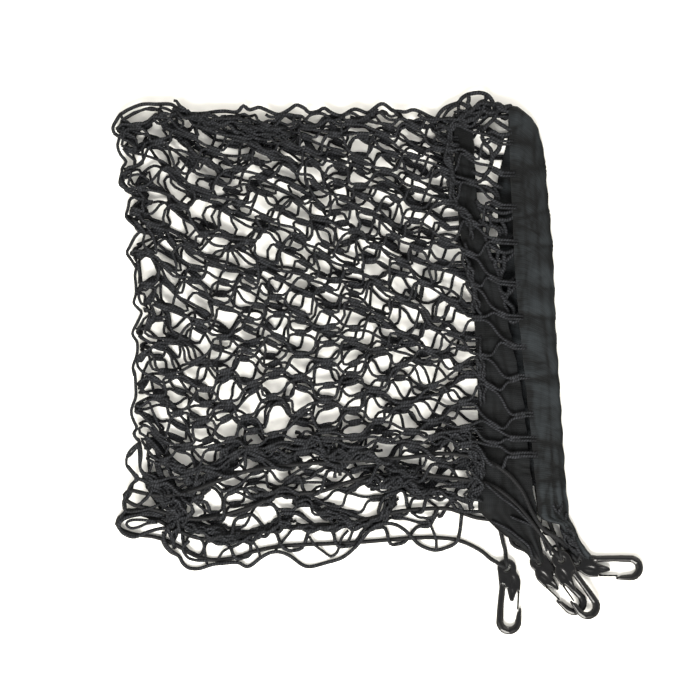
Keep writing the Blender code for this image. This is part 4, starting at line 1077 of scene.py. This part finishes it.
# bunches where the slack mesh is drawn up into dark ropes of strands
bunches = dict(
    wander=0.55,             # how far a strand strays, as a share of the bunch's half width
    waves=(0.016, 0.034),    # over which lengths
    depth=0.0013,            # how far it strays up and down
    latest=0.25,             # a strand starts and ends within this share of the bunch's length
    jointPitch=0.021,        # joints along a strand
    jointSwell=0.55,         # how much thicker they are
    dive=0.0035,             # the ends go down among the mesh this far
    diveLength=0.008,        # over this length
    spacing=0.0022,
    seed=21,
)
gatherLines = (
    # points along the bunch, half width, height of its middle, strands
    (((-0.1764, -0.0988), (-0.1648, -0.1075), (-0.1609, -0.1191), (-0.1628, -0.1288),
      (-0.1657, -0.1405), (-0.1628, -0.1502)), 0.0035, 0.0055, 5),
    (((-0.1687, -0.1133), (-0.1551, -0.1075), (-0.1415, -0.0988), (-0.1318, -0.0891),
      (-0.1240, -0.0774), (-0.1124, -0.0658), (-0.1008, -0.0619)), 0.0045, 0.0105, 9),
    (((-0.1628, -0.1211), (-0.1473, -0.1298), (-0.1347, -0.1317), (-0.1221, -0.1366),
      (-0.1085, -0.1395), (-0.0940, -0.1337), (-0.0794, -0.1269), (-0.0632, -0.1211)),
      0.0037, 0.0055, 6),
    (((-0.1085, -0.0677), (-0.0891, -0.0755), (-0.0746, -0.0745), (-0.0600, -0.0726)),
      0.0045, 0.0125, 9),
    (((-0.1085, -0.1007), (-0.0891, -0.1036), (-0.0746, -0.1027), (-0.0600, -0.1075)),
      0.0032, 0.0100, 6),
    (((-0.0712, -0.0636), (-0.0508, -0.0605), (-0.0375, -0.0717), (-0.0181, -0.0697),
      (0.0002, -0.0748), (0.0104, -0.0799)), 0.0053, 0.0128, 12),
    (((-0.0457, -0.0697), (-0.0355, -0.0799), (-0.0314, -0.0891)), 0.0035, 0.0122, 6),
    (((-0.0141, -0.0911), (0.0053, -0.0932), (0.0206, -0.0901), (0.0359, -0.1003), (0.0512, -0.1034)),
      0.0050, 0.0110, 10),
    (((0.0023, -0.0789), (0.0206, -0.0881), (0.0329, -0.0850)), 0.0040, 0.0118, 7),
    (((0.0441, -0.0605), (0.0594, -0.0574), (0.0717, -0.0676), (0.0768, -0.0809), (0.0747, -0.0942),
      (0.0717, -0.1085), (0.0798, -0.1166)), 0.0053, 0.0125, 11),
    (((0.0176, -0.1013), (0.0308, -0.1023), (0.0492, -0.1044), (0.0635, -0.1085), (0.0727, -0.1166)),
      0.0027, 0.0075, 6),
    (((0.0145, -0.1044), (0.0074, -0.1146), (0.0023, -0.1228), (-0.0141, -0.1319)), 0.0030, 0.0060, 6),
    (((-0.0712, -0.1085), (-0.0579, -0.1105), (-0.0457, -0.1187), (-0.0283, -0.1228),
      (-0.0202, -0.1289), (0.0002, -0.1228)), 0.0027, 0.0058, 6),
    (((-0.0773, -0.1319), (-0.0457, -0.1319), (-0.0253, -0.1299), (-0.0141, -0.1268)),
      0.0022, 0.0052, 5),
    (((-0.1662, 0.2039), (-0.1576, 0.1995), (-0.1506, 0.1952), (-0.1385, 0.1926), (-0.1246, 0.1921),
      (-0.1124, 0.1900), (-0.0994, 0.1848), (-0.0864, 0.1822), (-0.0734, 0.1813), (-0.0631, 0.1830)),
      0.0040, 0.0112, 10),
    (((-0.1124, 0.1822), (-0.1038, 0.1761), (-0.0951, 0.1718), (-0.0864, 0.1674), (-0.0751, 0.1622),
      (-0.0631, 0.1587)),
      0.0026, 0.0105, 5),
    (((-0.1576, 0.1822), (-0.1506, 0.1726), (-0.1454, 0.1674), (-0.1385, 0.1622), (-0.1298, 0.1570),
      (-0.1211, 0.1518), (-0.1124, 0.1501)),
      0.0024, 0.0105, 5),
    (((0.0405, 0.1918), (0.0470, 0.1901), (0.0552, 0.1893), (0.0633, 0.1926), (0.0707, 0.1959),
      (0.0788, 0.1991), (0.0854, 0.2032), (0.0911, 0.2057)),
      0.0036, 0.0115, 9),
    (((0.0584, 0.1959), (0.0666, 0.1983), (0.0748, 0.2008), (0.0829, 0.2032), (0.0911, 0.2016),
      (0.0976, 0.2040)),
      0.0030, 0.0110, 7),
    (((0.0527, 0.1885), (0.0543, 0.1771), (0.0535, 0.1657), (0.0552, 0.1559), (0.0560, 0.1444),
      (0.0584, 0.1330), (0.0592, 0.1208)),
      0.0032, 0.0115, 7),
    (((0.0454, 0.1885), (0.0503, 0.1804), (0.0552, 0.1771), (0.0601, 0.1738), (0.0650, 0.1706)),
      0.0030, 0.0115, 5),
    (((0.0405, 0.1510), (0.0470, 0.1526), (0.0543, 0.1510), (0.0617, 0.1444), (0.0682, 0.1412)),
      0.0026, 0.0115, 4),
    (((0.0568, 0.1329), (0.0604, 0.1265), (0.0661, 0.1215), (0.0704, 0.1151), (0.0732, 0.1072),
      (0.0718, 0.0994)),
      0.0026, 0.0118, 5),
    (((0.0654, 0.0980), (0.0682, 0.0851), (0.0711, 0.0737), (0.0732, 0.0623), (0.0754, 0.0523),
      (0.0775, 0.0416), (0.0789, 0.0308)),
      0.0024, 0.0118, 5),
    (((0.0768, 0.0254), (0.0789, 0.0139), (0.0796, 0.0032), (0.0818, -0.0075), (0.0825, -0.0189),
      (0.0825, -0.0303), (0.0825, -0.0417)),
      0.0022, 0.0118, 4),
    (((0.1443, -0.1209), (0.1481, -0.1316), (0.1527, -0.1416), (0.1573, -0.1500), (0.1603, -0.1561)),
      0.0030, 0.0075, 8),
    (((0.1251, -0.1278), (0.1328, -0.1339), (0.1397, -0.1393), (0.1466, -0.1439), (0.1535, -0.1477)),
      0.0013, 0.0078, 3),
    (((0.1420, -0.1041), (0.1427, -0.1133), (0.1435, -0.1217)),
      0.0024, 0.0070, 3),
    (((0.0935, 0.2028), (0.0992, 0.2009), (0.1048, 0.1999), (0.1099, 0.1991)),
      0.0034, 0.0096, 8),
    (((-0.1785, -0.0713), (-0.1693, -0.0768), (-0.1601, -0.0814), (-0.1518, -0.0888), (-0.1482, -0.0979)),
      0.0036, 0.0112, 6),
    (((-0.1812, -0.0952), (-0.1730, -0.0998), (-0.1638, -0.1053), (-0.1573, -0.1126), (-0.1592, -0.1218),
      (-0.1656, -0.1292)),
      0.0058, 0.0112, 10),
    (((-0.1895, -0.0878), (-0.1803, -0.0970), (-0.1720, -0.1053), (-0.1674, -0.1163), (-0.1693, -0.1255)),
      0.0030, 0.0105, 7),
    (((-0.2097, -0.1296), (-0.2033, -0.1200), (-0.1941, -0.1181), (-0.1840, -0.1172), (-0.1739, -0.1200)),
      0.0010, 0.0065, 3),
    (((-0.1564, -0.1255), (-0.1454, -0.1310), (-0.1325, -0.1347), (-0.1197, -0.1374), (-0.1068, -0.1393)),
      0.0036, 0.0085, 5),
    (((-0.2040, 0.1560), (-0.2040, 0.1480), (-0.2030, 0.1420), (-0.1960, 0.1360), (-0.1880, 0.1310),
      (-0.1790, 0.1270)), 0.0018, 0.0092, 3),
    (((-0.2070, 0.1940), (-0.2030, 0.1880), (-0.2025, 0.1820), (-0.1960, 0.1770), (-0.1930, 0.1680)),
      0.0026, 0.0100, 5),
    (((-0.2000, 0.1200), (-0.1960, 0.1130), (-0.1890, 0.1070), (-0.1800, 0.1050)), 0.0016, 0.0090, 2),
)


def buildBunches(material):
    rng = np.random.default_rng(bunches["seed"])
    paths, radii = [], []
    for points, halfWidth, height, strands in gatherLines:
        line = smoothRoute([(x, y, height) for x, y in points], bunches["spacing"])
        run = distanceRun(line)
        along = np.gradient(line, axis=0)
        along /= np.linalg.norm(along, axis=1)[:, None]
        aside = np.column_stack([-along[:, 1], along[:, 0]])
        for _ in range(strands):
            first = int(rng.uniform(0, bunches["latest"]) * len(line))
            last = len(line) - int(rng.uniform(0, bunches["latest"]) * len(line))
            offset = rng.uniform(-1, 1) * halfWidth * np.ones(len(line))
            lift = rng.normal(0, bunches["depth"]) * np.ones(len(line))
            for share in (1.0, 0.5):   # a long wave and a short one, out of step up and down
                wave, phase = rng.uniform(*bunches["waves"]) * share, rng.uniform(0, 2 * math.pi)
                offset += share * bunches["wander"] * halfWidth * np.sin(2 * math.pi * run / wave + phase)
                lift += share * bunches["depth"] * np.sin(2 * math.pi * run / wave + 1.7 * phase)
            path = line.copy()
            path[:, :2] += aside * offset[:, None]
            jointWave = np.sin(2 * math.pi * run / bunches["jointPitch"] + rng.uniform(0, 6.3))
            radius = looseStrands["strand"] / 2 * (1 + bunches["jointSwell"] * np.maximum(jointWave, 0) ** 3)
            toEnd = np.minimum(run - run[first], run[last - 1] - run)
            path[:, 2] += lift - bunches["dive"] * (1 - smoothStep(toEnd, 0.0, bunches["diveLength"]))
            path[:, 2] = np.maximum(path[:, 2], radius + floorGap)
            paths.append(path[first:last])
            radii.append(radius[first:last])
    obj = tubeMesh("mesh_bunches", paths, radii)
    finishPiece(obj, "root", material)


def buildLooseStrands():
    material = bpy.data.materials["knitted polyester yarn"]
    buildBunches(material)
    paths = [smoothRoute(points, looseStrands["spacing"]) for points in (borderRope, *tyingStrands)]
    sizes = [looseStrands["border"] / 2] + [looseStrands["strand"] / 2] * len(tyingStrands)
    for thickness, fromHeight, toHeight, points in layingStrands:
        heights = np.linspace(fromHeight, toHeight, len(points))
        paths.append(smoothRoute([(x, y, z) for (x, y), z in zip(points, heights)], looseStrands["spacing"]))
        sizes.append(thickness / 2)
    for path, radius in zip(paths, sizes):
        path[:, 2] = np.maximum(path[:, 2], radius + floorGap)
    obj = tubeMesh("slack_border", paths, sizes)
    finishPiece(obj, "root", material)


buildNet()
buildLooseStrands()
print("mesh built")

# the hem bands: cloth gathered round an elastic and folded over with the mesh
bands = dict(
    thickness=0.0018,
    across=32,               # divisions over the width
    along=560,
    crease=0.0006,           # depth of the cross creases
    creaseWidth=0.0022,
    creaseX=0.12,            # where their places are given
    pleat=0.0007,            # depth of the pleats near the lower ends
    pleats=3.5,              # over the width
    pleatReach=0.055,        # how far up from the gathered tail they run
    pleatLean=20,            # how fast they wander across, in radians a metre
    unevenness=0.00016,      # of the cloth all over, in waves of this many radians a metre
    unevenX=(-180, 180),
    unevenY=(60, 260),
    unevenWaves=5,
    lineWidth=0.05,          # of a fold along the band, as a share of the width
    lineStray=0.04,          # how far it wanders, as a share of the width
    lineFade=0.02,           # it sets in and dies out over this length
    folds=110,               # short creases
    foldDepth=0.00045,
    foldWidth=0.0013,
    foldTurn=0.22,           # how far they lie askew, in radians
    foldsAlong=0.3,          # share of them that runs along the band
    foldReach=((0.004, 0.012), (0.012, 0.030)),   # half their length across, and along
    raggedness=0.0016,       # of the cut lower ends
    cutEnds=(0.97, 1.0),     # shares of the band's length
    ripple=0.0004,           # waviness of the outer edge
    rippleLength=0.019,
    rippleFrom=(0.6, 1.0),   # shares of the width
    edgeRadius=0.4,          # of the soft edges, as a share of the thickness
    lengthTone=(0.44, 0.30),     # tone of the cloth at its ends, and how much paler its middle is
    lengthToneReach=0.11,        # how far from the middle that is
    relief=0.0011,           # a crown of cloth this much higher is painted fully pale, a painted highlight, and a crease as much lower fully dark, painted shade
    shade=(0.34, 0.20),      # how much darker it is painted along its inner edge, painted shade where the hem folds under, and along its outer edge
    inner=(0.08, 0.26),      # over these shares of the width
    outer=(0.86, 0.97),
    ribs=0.0016,             # from rib to rib, and from thread to thread across them
    threads=0.0009,
    cloud=90.0,              # cloudy patches, 1/90 m or 11 mm across
    streaks=620.0,           # streaks of slack threads, 1.6 mm high
    streakLength=0.16,       # and this many times as fine the other way, so 10 mm long
    # how much the weave, the patches, the streaks and the crowns of folds, which carry the painted light and
    # shade, count for the tone
    toneShares=(0.16, 0.30, 0.42, 0.42),
    toneRange=(0.38, 0.86),
    seed=5,
)
frontHem = dict(
    # y, inner x, outer x
    edges=((-0.1560, 0.1640, 0.1705), (-0.1500, 0.1585, 0.1655), (-0.1430, 0.1530, 0.1610),
           (-0.1350, 0.1480, 0.1570), (-0.1275, 0.1440, 0.1535), (-0.1240, 0.1300, 0.1522),
           (-0.1210, 0.1268, 0.1515), (-0.0930, 0.1245, 0.1488),
           (-0.0290, 0.1180, 0.1448), (0.0270, 0.1120, 0.1410), (0.0750, 0.1080, 0.1392),
           (0.0950, 0.1072, 0.1384), (0.1300, 0.1055, 0.1350), (0.1620, 0.1040, 0.1322),
           (0.2100, 0.1030, 0.1310)),
    lowerEnd=-0.1400,
    upperEnd=-0.1545,
    tail=(-0.1240, -0.1400, 0.0060),   # from and to where it is gathered to a tail, and how high that lies
    top=0.2052,
    # share of the width, how far the fold falls short of the top there
    dome=((0.0, 0.0), (0.25, 0.0010), (0.38, 0.0036), (0.63, 0.0094), (0.81, 0.0175),
          (0.92, 0.0310), (1.0, 0.0440)),
    lower=(0.0013, 0.0013),  # height of the lower half's middle at the inner and outer edge
    upper=(0.0118, 0.0052),
    shift=lowerShift,        # of the lower half to the left
    # y and slope of the creases across
    creases=((0.156, 0.10), (0.095, -0.06), (0.118, 0.25), (0.038, -0.12), (-0.012, 0.10),
             (-0.060, -0.20), (-0.095, 0.15)),
    # share of the width, from and to y, depth of the folds that run along it
    lines=((0.66, 0.200, -0.120, 0.0004), (0.30, 0.170, 0.020, 0.0003), (0.80, -0.060, -0.135, 0.0009),
           (0.55, -0.050, -0.135, 0.0007), (0.93, 0.150, -0.130, 0.0004), (0.38, -0.080, -0.130, 0.0006)),
)
backHem = dict(
    edges=((-0.1600, 0.1235, 0.1305), (-0.1500, 0.1175, 0.1295), (-0.1430, 0.1100, 0.1285),
           (-0.1340, 0.0960, 0.1275), (-0.1170, 0.0790, 0.1255), (-0.0930, 0.0790, 0.1215),
           (-0.0290, 0.0790, 0.1150), (0.0270, 0.0765, 0.1040), (0.0630, 0.0725, 0.0970),
           (0.0880, 0.0680, 0.0890), (0.1070, 0.0640, 0.0830), (0.1330, 0.0620, 0.0775),
           (0.1710, 0.0600, 0.0755), (0.2000, 0.0590, 0.0745)),
    lowerEnd=-0.1480,
    upperEnd=-0.1575,
    tail=(-0.1340, -0.1500, 0.0064),
    top=0.1985,
    dome=((0.0, 0.0), (0.5, 0.0010), (1.0, 0.0050)),
    lower=(0.0047, 0.0047),
    upper=(0.0082, 0.0082),
    shift=None,
    creases=((0.165, 0.10), (0.080, -0.06), (0.030, 0.25), (-0.020, -0.12), (-0.070, 0.20)),
    lines=((0.35, 0.180, -0.080, 0.0004), (0.70, 0.100, -0.130, 0.0005), (0.50, -0.060, -0.150, 0.0008)),
)


# places on a band; u runs over its width, and v along it from -1 to 1, with 0 at the top fold
def bandPlace(hem, u, v):
    upper = v > 0
    low = hem["lower"][0] + (hem["lower"][1] - hem["lower"][0]) * u
    high = hem["upper"][0] + (hem["upper"][1] - hem["upper"][0]) * smoothStep(u, 0.0, 1.1)
    radius = (high - low) / 2
    bend = math.pi / 2 * radius
    top = hem["top"] - readTable(hem["dome"], u) - radius
    end = np.where(upper, hem["upperEnd"], hem["lowerEnd"])
    length = hem["top"] - np.minimum(hem["lowerEnd"], hem["upperEnd"])
    down = np.maximum(np.abs(v) * length - bend, 0.0) / (length - bend)
    lean = np.clip(v * length / radius, -math.pi / 2, math.pi / 2)
    y = top + radius * np.cos(lean) + (end - top) * down
    inner = readTable(hem["edges"], y)
    outer = readTable(hem["edges"], y, 2)
    x = inner + (outer - inner) * u
    if hem["shift"]:
        x = x - np.where(upper, 0.0, hem["shift"](y))
    z = (high + low) / 2 + radius * np.sin(lean)
    start, end, height = hem["tail"]
    return x, y, z + (height - z) * smoothStep(-y, -start, -end) * upper


# the same places with the band's creases and folds pressed in, and how far each was pushed up
def creaseBand(hem, u, x, y, z, upper, rng):
    push = np.zeros_like(z)
    for at, slope in hem["creases"]:
        away = (y - at - slope * (x - bands["creaseX"])) / bands["creaseWidth"]
        push -= bands["crease"] * np.exp(-away ** 2)
    near = 1 - smoothStep(y, hem["tail"][1], hem["tail"][0] + bands["pleatReach"])
    push += bands["pleat"] * np.sin(u * 2 * math.pi * bands["pleats"] + y * bands["pleatLean"]) * near
    for _ in range(bands["unevenWaves"]):
        waveX, waveY = rng.uniform(*bands["unevenX"]), rng.uniform(*bands["unevenY"])
        push += bands["unevenness"] * np.sin(x * waveX + y * waveY + rng.uniform(0, 6.3))
    fade = bands["lineFade"]
    for at, fromY, toY, depth in hem["lines"]:
        stray = at + bands["lineStray"] * np.sin(y * 40 + at * 30)
        here = smoothStep(-y, -fromY, -fromY + fade) * (1 - smoothStep(-y, -toY - fade, -toY))
        push -= depth * np.exp(-((u - stray) / bands["lineWidth"]) ** 2) * here
    for _ in range(bands["folds"]):
        pick = rng.integers(len(x))
        along = rng.uniform() < bands["foldsAlong"]
        angle = rng.normal(0, bands["foldTurn"]) + (math.pi / 2 if along else 0)
        reach = rng.uniform(*bands["foldReach"][int(along)])
        run = (x - x[pick]) * math.cos(angle) + (y - y[pick]) * math.sin(angle)
        off = (y - y[pick]) * math.cos(angle) - (x - x[pick]) * math.sin(angle)
        depth = bands["foldDepth"] * rng.uniform(0.3, 1.0)
        push -= depth * np.exp(-(off / bands["foldWidth"]) ** 2 - (run / reach) ** 4)
    ripple = np.sin(y * 2 * math.pi / bands["rippleLength"] + 1.0)
    x = x + bands["ripple"] * ripple * smoothStep(u, *bands["rippleFrom"])
    pressed = z + push * np.where(upper, 1.0, 0.5)
    return x, np.maximum(pressed, bands["thickness"] / 2 + floorGap), push


# woven polyester binding: slate black, fine cross ribs; painted light along its middle and on the crowns of
# its folds, painted shade in its creases and along its edges
def bandMaterial(name, darkest, palest):
    made, tree, shader = newMaterial(name)
    shader.inputs["Roughness"].default_value = 0.75
    shader.inputs["Specular IOR Level"].default_value = 0.12
    shader.inputs["Sheen Weight"].default_value = 0.02
    uv = addNode(tree, "ShaderNodeUVMap", dict(uv_map="clothMap"))
    ribs, threads = (
        addNode(tree, "ShaderNodeTexWave", dict(bands_direction=way, Scale=1 / (math.pi * pitch),
                                                Distortion=distortion, Detail=2.0), Vector=uv.outputs["UV"])
        for way, pitch, distortion in (("Y", bands["ribs"], 1.5), ("X", bands["threads"], 2.0)))
    weave = addNode(tree, "ShaderNodeMath", dict(operation="MULTIPLY"),
                    (ribs.outputs["Fac"], threads.outputs["Fac"]))
    cloud = addNode(tree, "ShaderNodeTexNoise", dict(Scale=bands["cloud"], Detail=4.0),
                    Vector=uv.outputs["UV"])
    stretched = addNode(tree, "ShaderNodeMapping", dict(Scale=(bands["streakLength"], 1.0, 1.0)),
                        Vector=uv.outputs["UV"])
    streaks = addNode(tree, "ShaderNodeTexNoise", dict(Scale=bands["streaks"], Detail=2.0),
                      Vector=stretched.outputs["Vector"])
    # the painted light and shade of the cloth's folds and edges
    crown = addNode(tree, "ShaderNodeAttribute", dict(attribute_name="crown"))
    total = 0.0
    sources = (weave.outputs["Value"], *(node.outputs["Fac"] for node in (cloud, streaks, crown)))
    for source, share in zip(sources, bands["toneShares"]):
        total = addNode(tree, "ShaderNodeMath", dict(operation="MULTIPLY_ADD"),
                        (source, share, total)).outputs["Value"]
    ramp = addNode(tree, "ShaderNodeValToRGB", Fac=total)
    for stop, position, tone in zip(ramp.color_ramp.elements, bands["toneRange"], (darkest, palest)):
        stop.position = position
        stop.color = hexColour(tone)
    tree.links.new(ramp.outputs["Color"], shader.inputs["Base Color"])
    bump = addNode(tree, "ShaderNodeBump", dict(Strength=0.5, Distance=0.0004), Height=weave.outputs["Value"])
    tree.links.new(bump.outputs["Normal"], shader.inputs["Normal"])
    return made


def buildBand(name, hem, material):
    rng = np.random.default_rng(bands["seed"])
    bm = bmesh.new()
    bmesh.ops.create_grid(bm, x_segments=bands["across"], y_segments=bands["along"], size=1.0)
    grid = np.array([v.co for v in bm.verts])
    u, v = (grid[:, 0] + 1) / 2, grid[:, 1]
    x, y, z = bandPlace(hem, u, v)
    x, z, push = creaseBand(hem, u, x, y, z, v > 0, rng)
    ragged = (np.sin(u * 31) + np.sin(u * 73 + 1)) / 2
    y = y + bands["raggedness"] * ragged * smoothStep(np.abs(v), *bands["cutEnds"])
    layer = bm.loops.layers.uv.new("clothMap")
    crown = bm.verts.layers.float.new("crown")   # painted light and shade: 0, painted shade, in the creases and along the edges; 1, a painted highlight, where the cloth stands up
    length = hem["top"] - hem["lowerEnd"]
    width = float(np.median(readTable(hem["edges"], y, 2) - readTable(hem["edges"], y)))
    # darker towards both ends of the band, paler in its middle
    tone = bands["lengthTone"][0] + bands["lengthTone"][1] * np.exp(-(y / bands["lengthToneReach"]) ** 2)
    # painted shade along the inner edge, where the hem folds under, and darker along the outer edge too
    tone -= bands["shade"][0] * (1 - smoothStep(u, *bands["inner"]))
    tone -= bands["shade"][1] * smoothStep(u, *bands["outer"])
    for vert, place, paintedLightShare in zip(bm.verts, zip(x, y, z), np.clip(tone + push / bands["relief"], 0, 1)):
        vert.co = place
        vert[crown] = paintedLightShare
    for face in bm.faces:
        for loop in face.loops:
            index = loop.vert.index
            loop[layer].uv = (u[index] * width, v[index] * length)
    mesh = bpy.data.meshes.new(name)
    bm.to_mesh(mesh)
    bm.free()
    mesh.shade_smooth()
    obj = linkObject(name, mesh)
    shell = obj.modifiers.new("thickness", "SOLIDIFY")
    shell.thickness = bands["thickness"]
    shell.offset = 0.0
    rim = obj.modifiers.new("soft edges", "BEVEL")
    rim.width = bands["thickness"] * bands["edgeRadius"]
    rim.segments = 2
    finishPiece(obj, "root", material)
    return obj


frontCloth = bandMaterial("woven polyester binding", "#050607", "#212528")
# the back band gets a darker copy of the cloth: painted shade
shadedBackCloth = bandMaterial("woven polyester binding, in painted shade", "#030405", "#111315")
for hemNode, hem, pieceName, bandCloth in (("front_hem", frontHem, "front_hem_band", frontCloth),
                                           ("back_hem", backHem, "back_hem_band", shadedBackCloth)):
    band = buildBand(pieceName, hem, bandCloth)
    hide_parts(hemNode)
print("bands built")

# snap hooks: moulded in one piece, each with a springy leaf for its gate
clip = dict(
    thickness=elastic["hookThickness"],
    voxel=0.00045,           # fineness of the moulded surface
    rounding=9,              # smoothing passes over the moulded edges
    crown=0.34,              # how much lower the J-shaped arm is at its edges than along its middle
    halfArm=0.0027,          # half its width
    armLine=((-0.0038, -0.0150), (-0.0050, -0.0300), (-0.0059, -0.0429), (-0.0037, -0.0482),
             (0.0016, -0.0504), (0.0069, -0.0482), (0.0091, -0.0429), (0.0099, -0.0350)),
    # middle, half sizes and depth of the shallow hollows in the cheek
    hollow=((0.0046, -0.0105, 0.0020, 0.0042, 0.0004), (0.0040, -0.0215, 0.0012, 0.0042, 0.0003)),
    hollowReach=1.4,         # half sizes out to which a hollow is felt
    cheek=0.3,               # share of the thickness past which a face belongs to a cheek
    loopSpacing=0.0009,      # of the points of the cord ends in the eye
    # the way a cord end takes over the rim of the eye and down through it: from the eye's middle, height
    loop=((0.0105, 0.0), (0.0090, 0.0020), (0.0066, 0.0041), (0.0040, 0.0042), (0.0018, 0.0026),
          (0.0010, -0.0004)),
    loopAngles=((150, 95), (140, 112), (130, 100), (128, 70)),   # of the cord ends at each hook
)


# where a hook lies: its eye's middle, turned, and face down if flipped
def hookPlace(hook):
    x, y, z, turn, flipped = hook
    middle = Matrix.Translation((x, y, z + clip["thickness"] / 2))
    place = middle @ Matrix.Rotation(math.radians(turn), 4, "Z")
    return place @ Matrix.Rotation(math.pi, 4, "Y") if flipped else place


# injection-moulded acetal: glossy black with soft edges and a very faint flow texture, its marks
# about 4 mm across
def plasticMaterial():
    made, tree, shader = newMaterial("moulded black acetal")
    shader.inputs["Base Color"].default_value = hexColour("#050506")
    shader.inputs["Specular IOR Level"].default_value = 0.33
    where = addNode(tree, "ShaderNodeTexCoord")
    flow = addNode(tree, "ShaderNodeTexNoise", dict(Scale=260.0, Detail=3.0), Vector=where.outputs["Object"])
    gloss = addNode(tree, "ShaderNodeMapRange", {"To Min": 0.12, "To Max": 0.30}, Value=flow.outputs["Fac"])
    tree.links.new(gloss.outputs["Result"], shader.inputs["Roughness"])
    bump = addNode(tree, "ShaderNodeBump", dict(Strength=0.25, Distance=0.0003), Height=flow.outputs["Fac"])
    tree.links.new(bump.outputs["Normal"], shader.inputs["Normal"])
    return made


# makes what an object's modifiers give its own mesh
def applyModifiers(obj):
    graph = bpy.context.evaluated_depsgraph_get()
    mesh = bpy.data.meshes.new_from_object(obj.evaluated_get(graph))
    obj.modifiers.clear()
    old, obj.data = obj.data, mesh
    bpy.data.meshes.remove(old)


# a CAD solid with its edges rounded off as a mould leaves them
def softened(name, nodeName, voxel, passes):
    bm = bmesh.new()
    bm.from_mesh(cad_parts[nodeName].data)
    bmesh.ops.remove_doubles(bm, verts=bm.verts, dist=0.00001)
    bmesh.ops.recalc_face_normals(bm, faces=bm.faces)
    mesh = bpy.data.meshes.new(name)
    bm.to_mesh(mesh)
    bm.free()
    obj = linkObject(name, mesh)
    grid = obj.modifiers.new("voxels", "REMESH")
    grid.mode = "VOXEL"
    grid.voxel_size = voxel
    rounded = obj.modifiers.new("rounding", "SMOOTH")
    rounded.factor = 0.5
    rounded.iterations = passes
    applyModifiers(obj)
    obj.data.shade_smooth()
    return obj


# how far a point of a hook is from the middle line of its arm
def armDistance(point):
    best = math.inf
    line = [Vector((x, y)) for x, y in clip["armLine"]]
    for start, end in zip(line, line[1:]):
        run = end - start
        share = min(max((point - start).dot(run) / run.length_squared, 0.0), 1.0)
        best = min(best, (point - start - run * share).length)
    return best


# the arm's rounded back, and the hollows in the cheek
def shapeHook(obj, hook):
    place = hookPlace(hook)
    back = place.inverted()
    for vert in obj.data.vertices:
        local = back @ vert.co
        away = armDistance(Vector((local.x, local.y))) / clip["halfArm"]
        if away < 1.0:
            local.z *= 1 - clip["crown"] * away * away
        for x, y, halfX, halfY, depth in clip["hollow"]:
            far = math.hypot((local.x - x) / halfX, (local.y - y) / halfY)
            if far < clip["hollowReach"] and abs(local.z) > clip["thickness"] * clip["cheek"]:
                local.z -= math.copysign(depth * math.exp(-far ** 4), local.z)
        vert.co = place @ local
        vert.co.z = max(vert.co.z, 0.0)


# the ends of the cords, which pass over the rim of each hook's eye and down through it
def buildEyeLoops(material):
    for number, (hook, angles) in enumerate(zip(hooks, clip["loopAngles"]), 1):
        middle = Vector((hook[0], hook[1], hook[2] + clip["thickness"] / 2))
        paths = []
        for angle in angles:
            away = Vector((math.cos(math.radians(angle)), math.sin(math.radians(angle)), 0.0))
            points = [middle + away * r + Vector((0, 0, z)) for r, z in clip["loop"]]
            paths.append(smoothRoute(points, clip["loopSpacing"]))
        obj = tubeMesh(f"eye_loop_{number}", paths, [elastic["diameter"] / 2] * len(paths))
        finishPiece(obj, "root", material)


def buildHooks():
    plastic = plasticMaterial()
    for number, hook in enumerate(hooks, 1):
        body = softened(f"snap_hook_{number}", f"hook_{number}", clip["voxel"], clip["rounding"])
        shapeHook(body, hook)
        finishPiece(body, "root", plastic)
        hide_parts(f"hook_{number}")
        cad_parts[f"gate_{number}"].data.materials.clear()
        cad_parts[f"gate_{number}"].data.materials.append(plastic)


buildHooks()
buildEyeLoops(bpy.data.materials["braided elastic cord"])
print("hooks built")
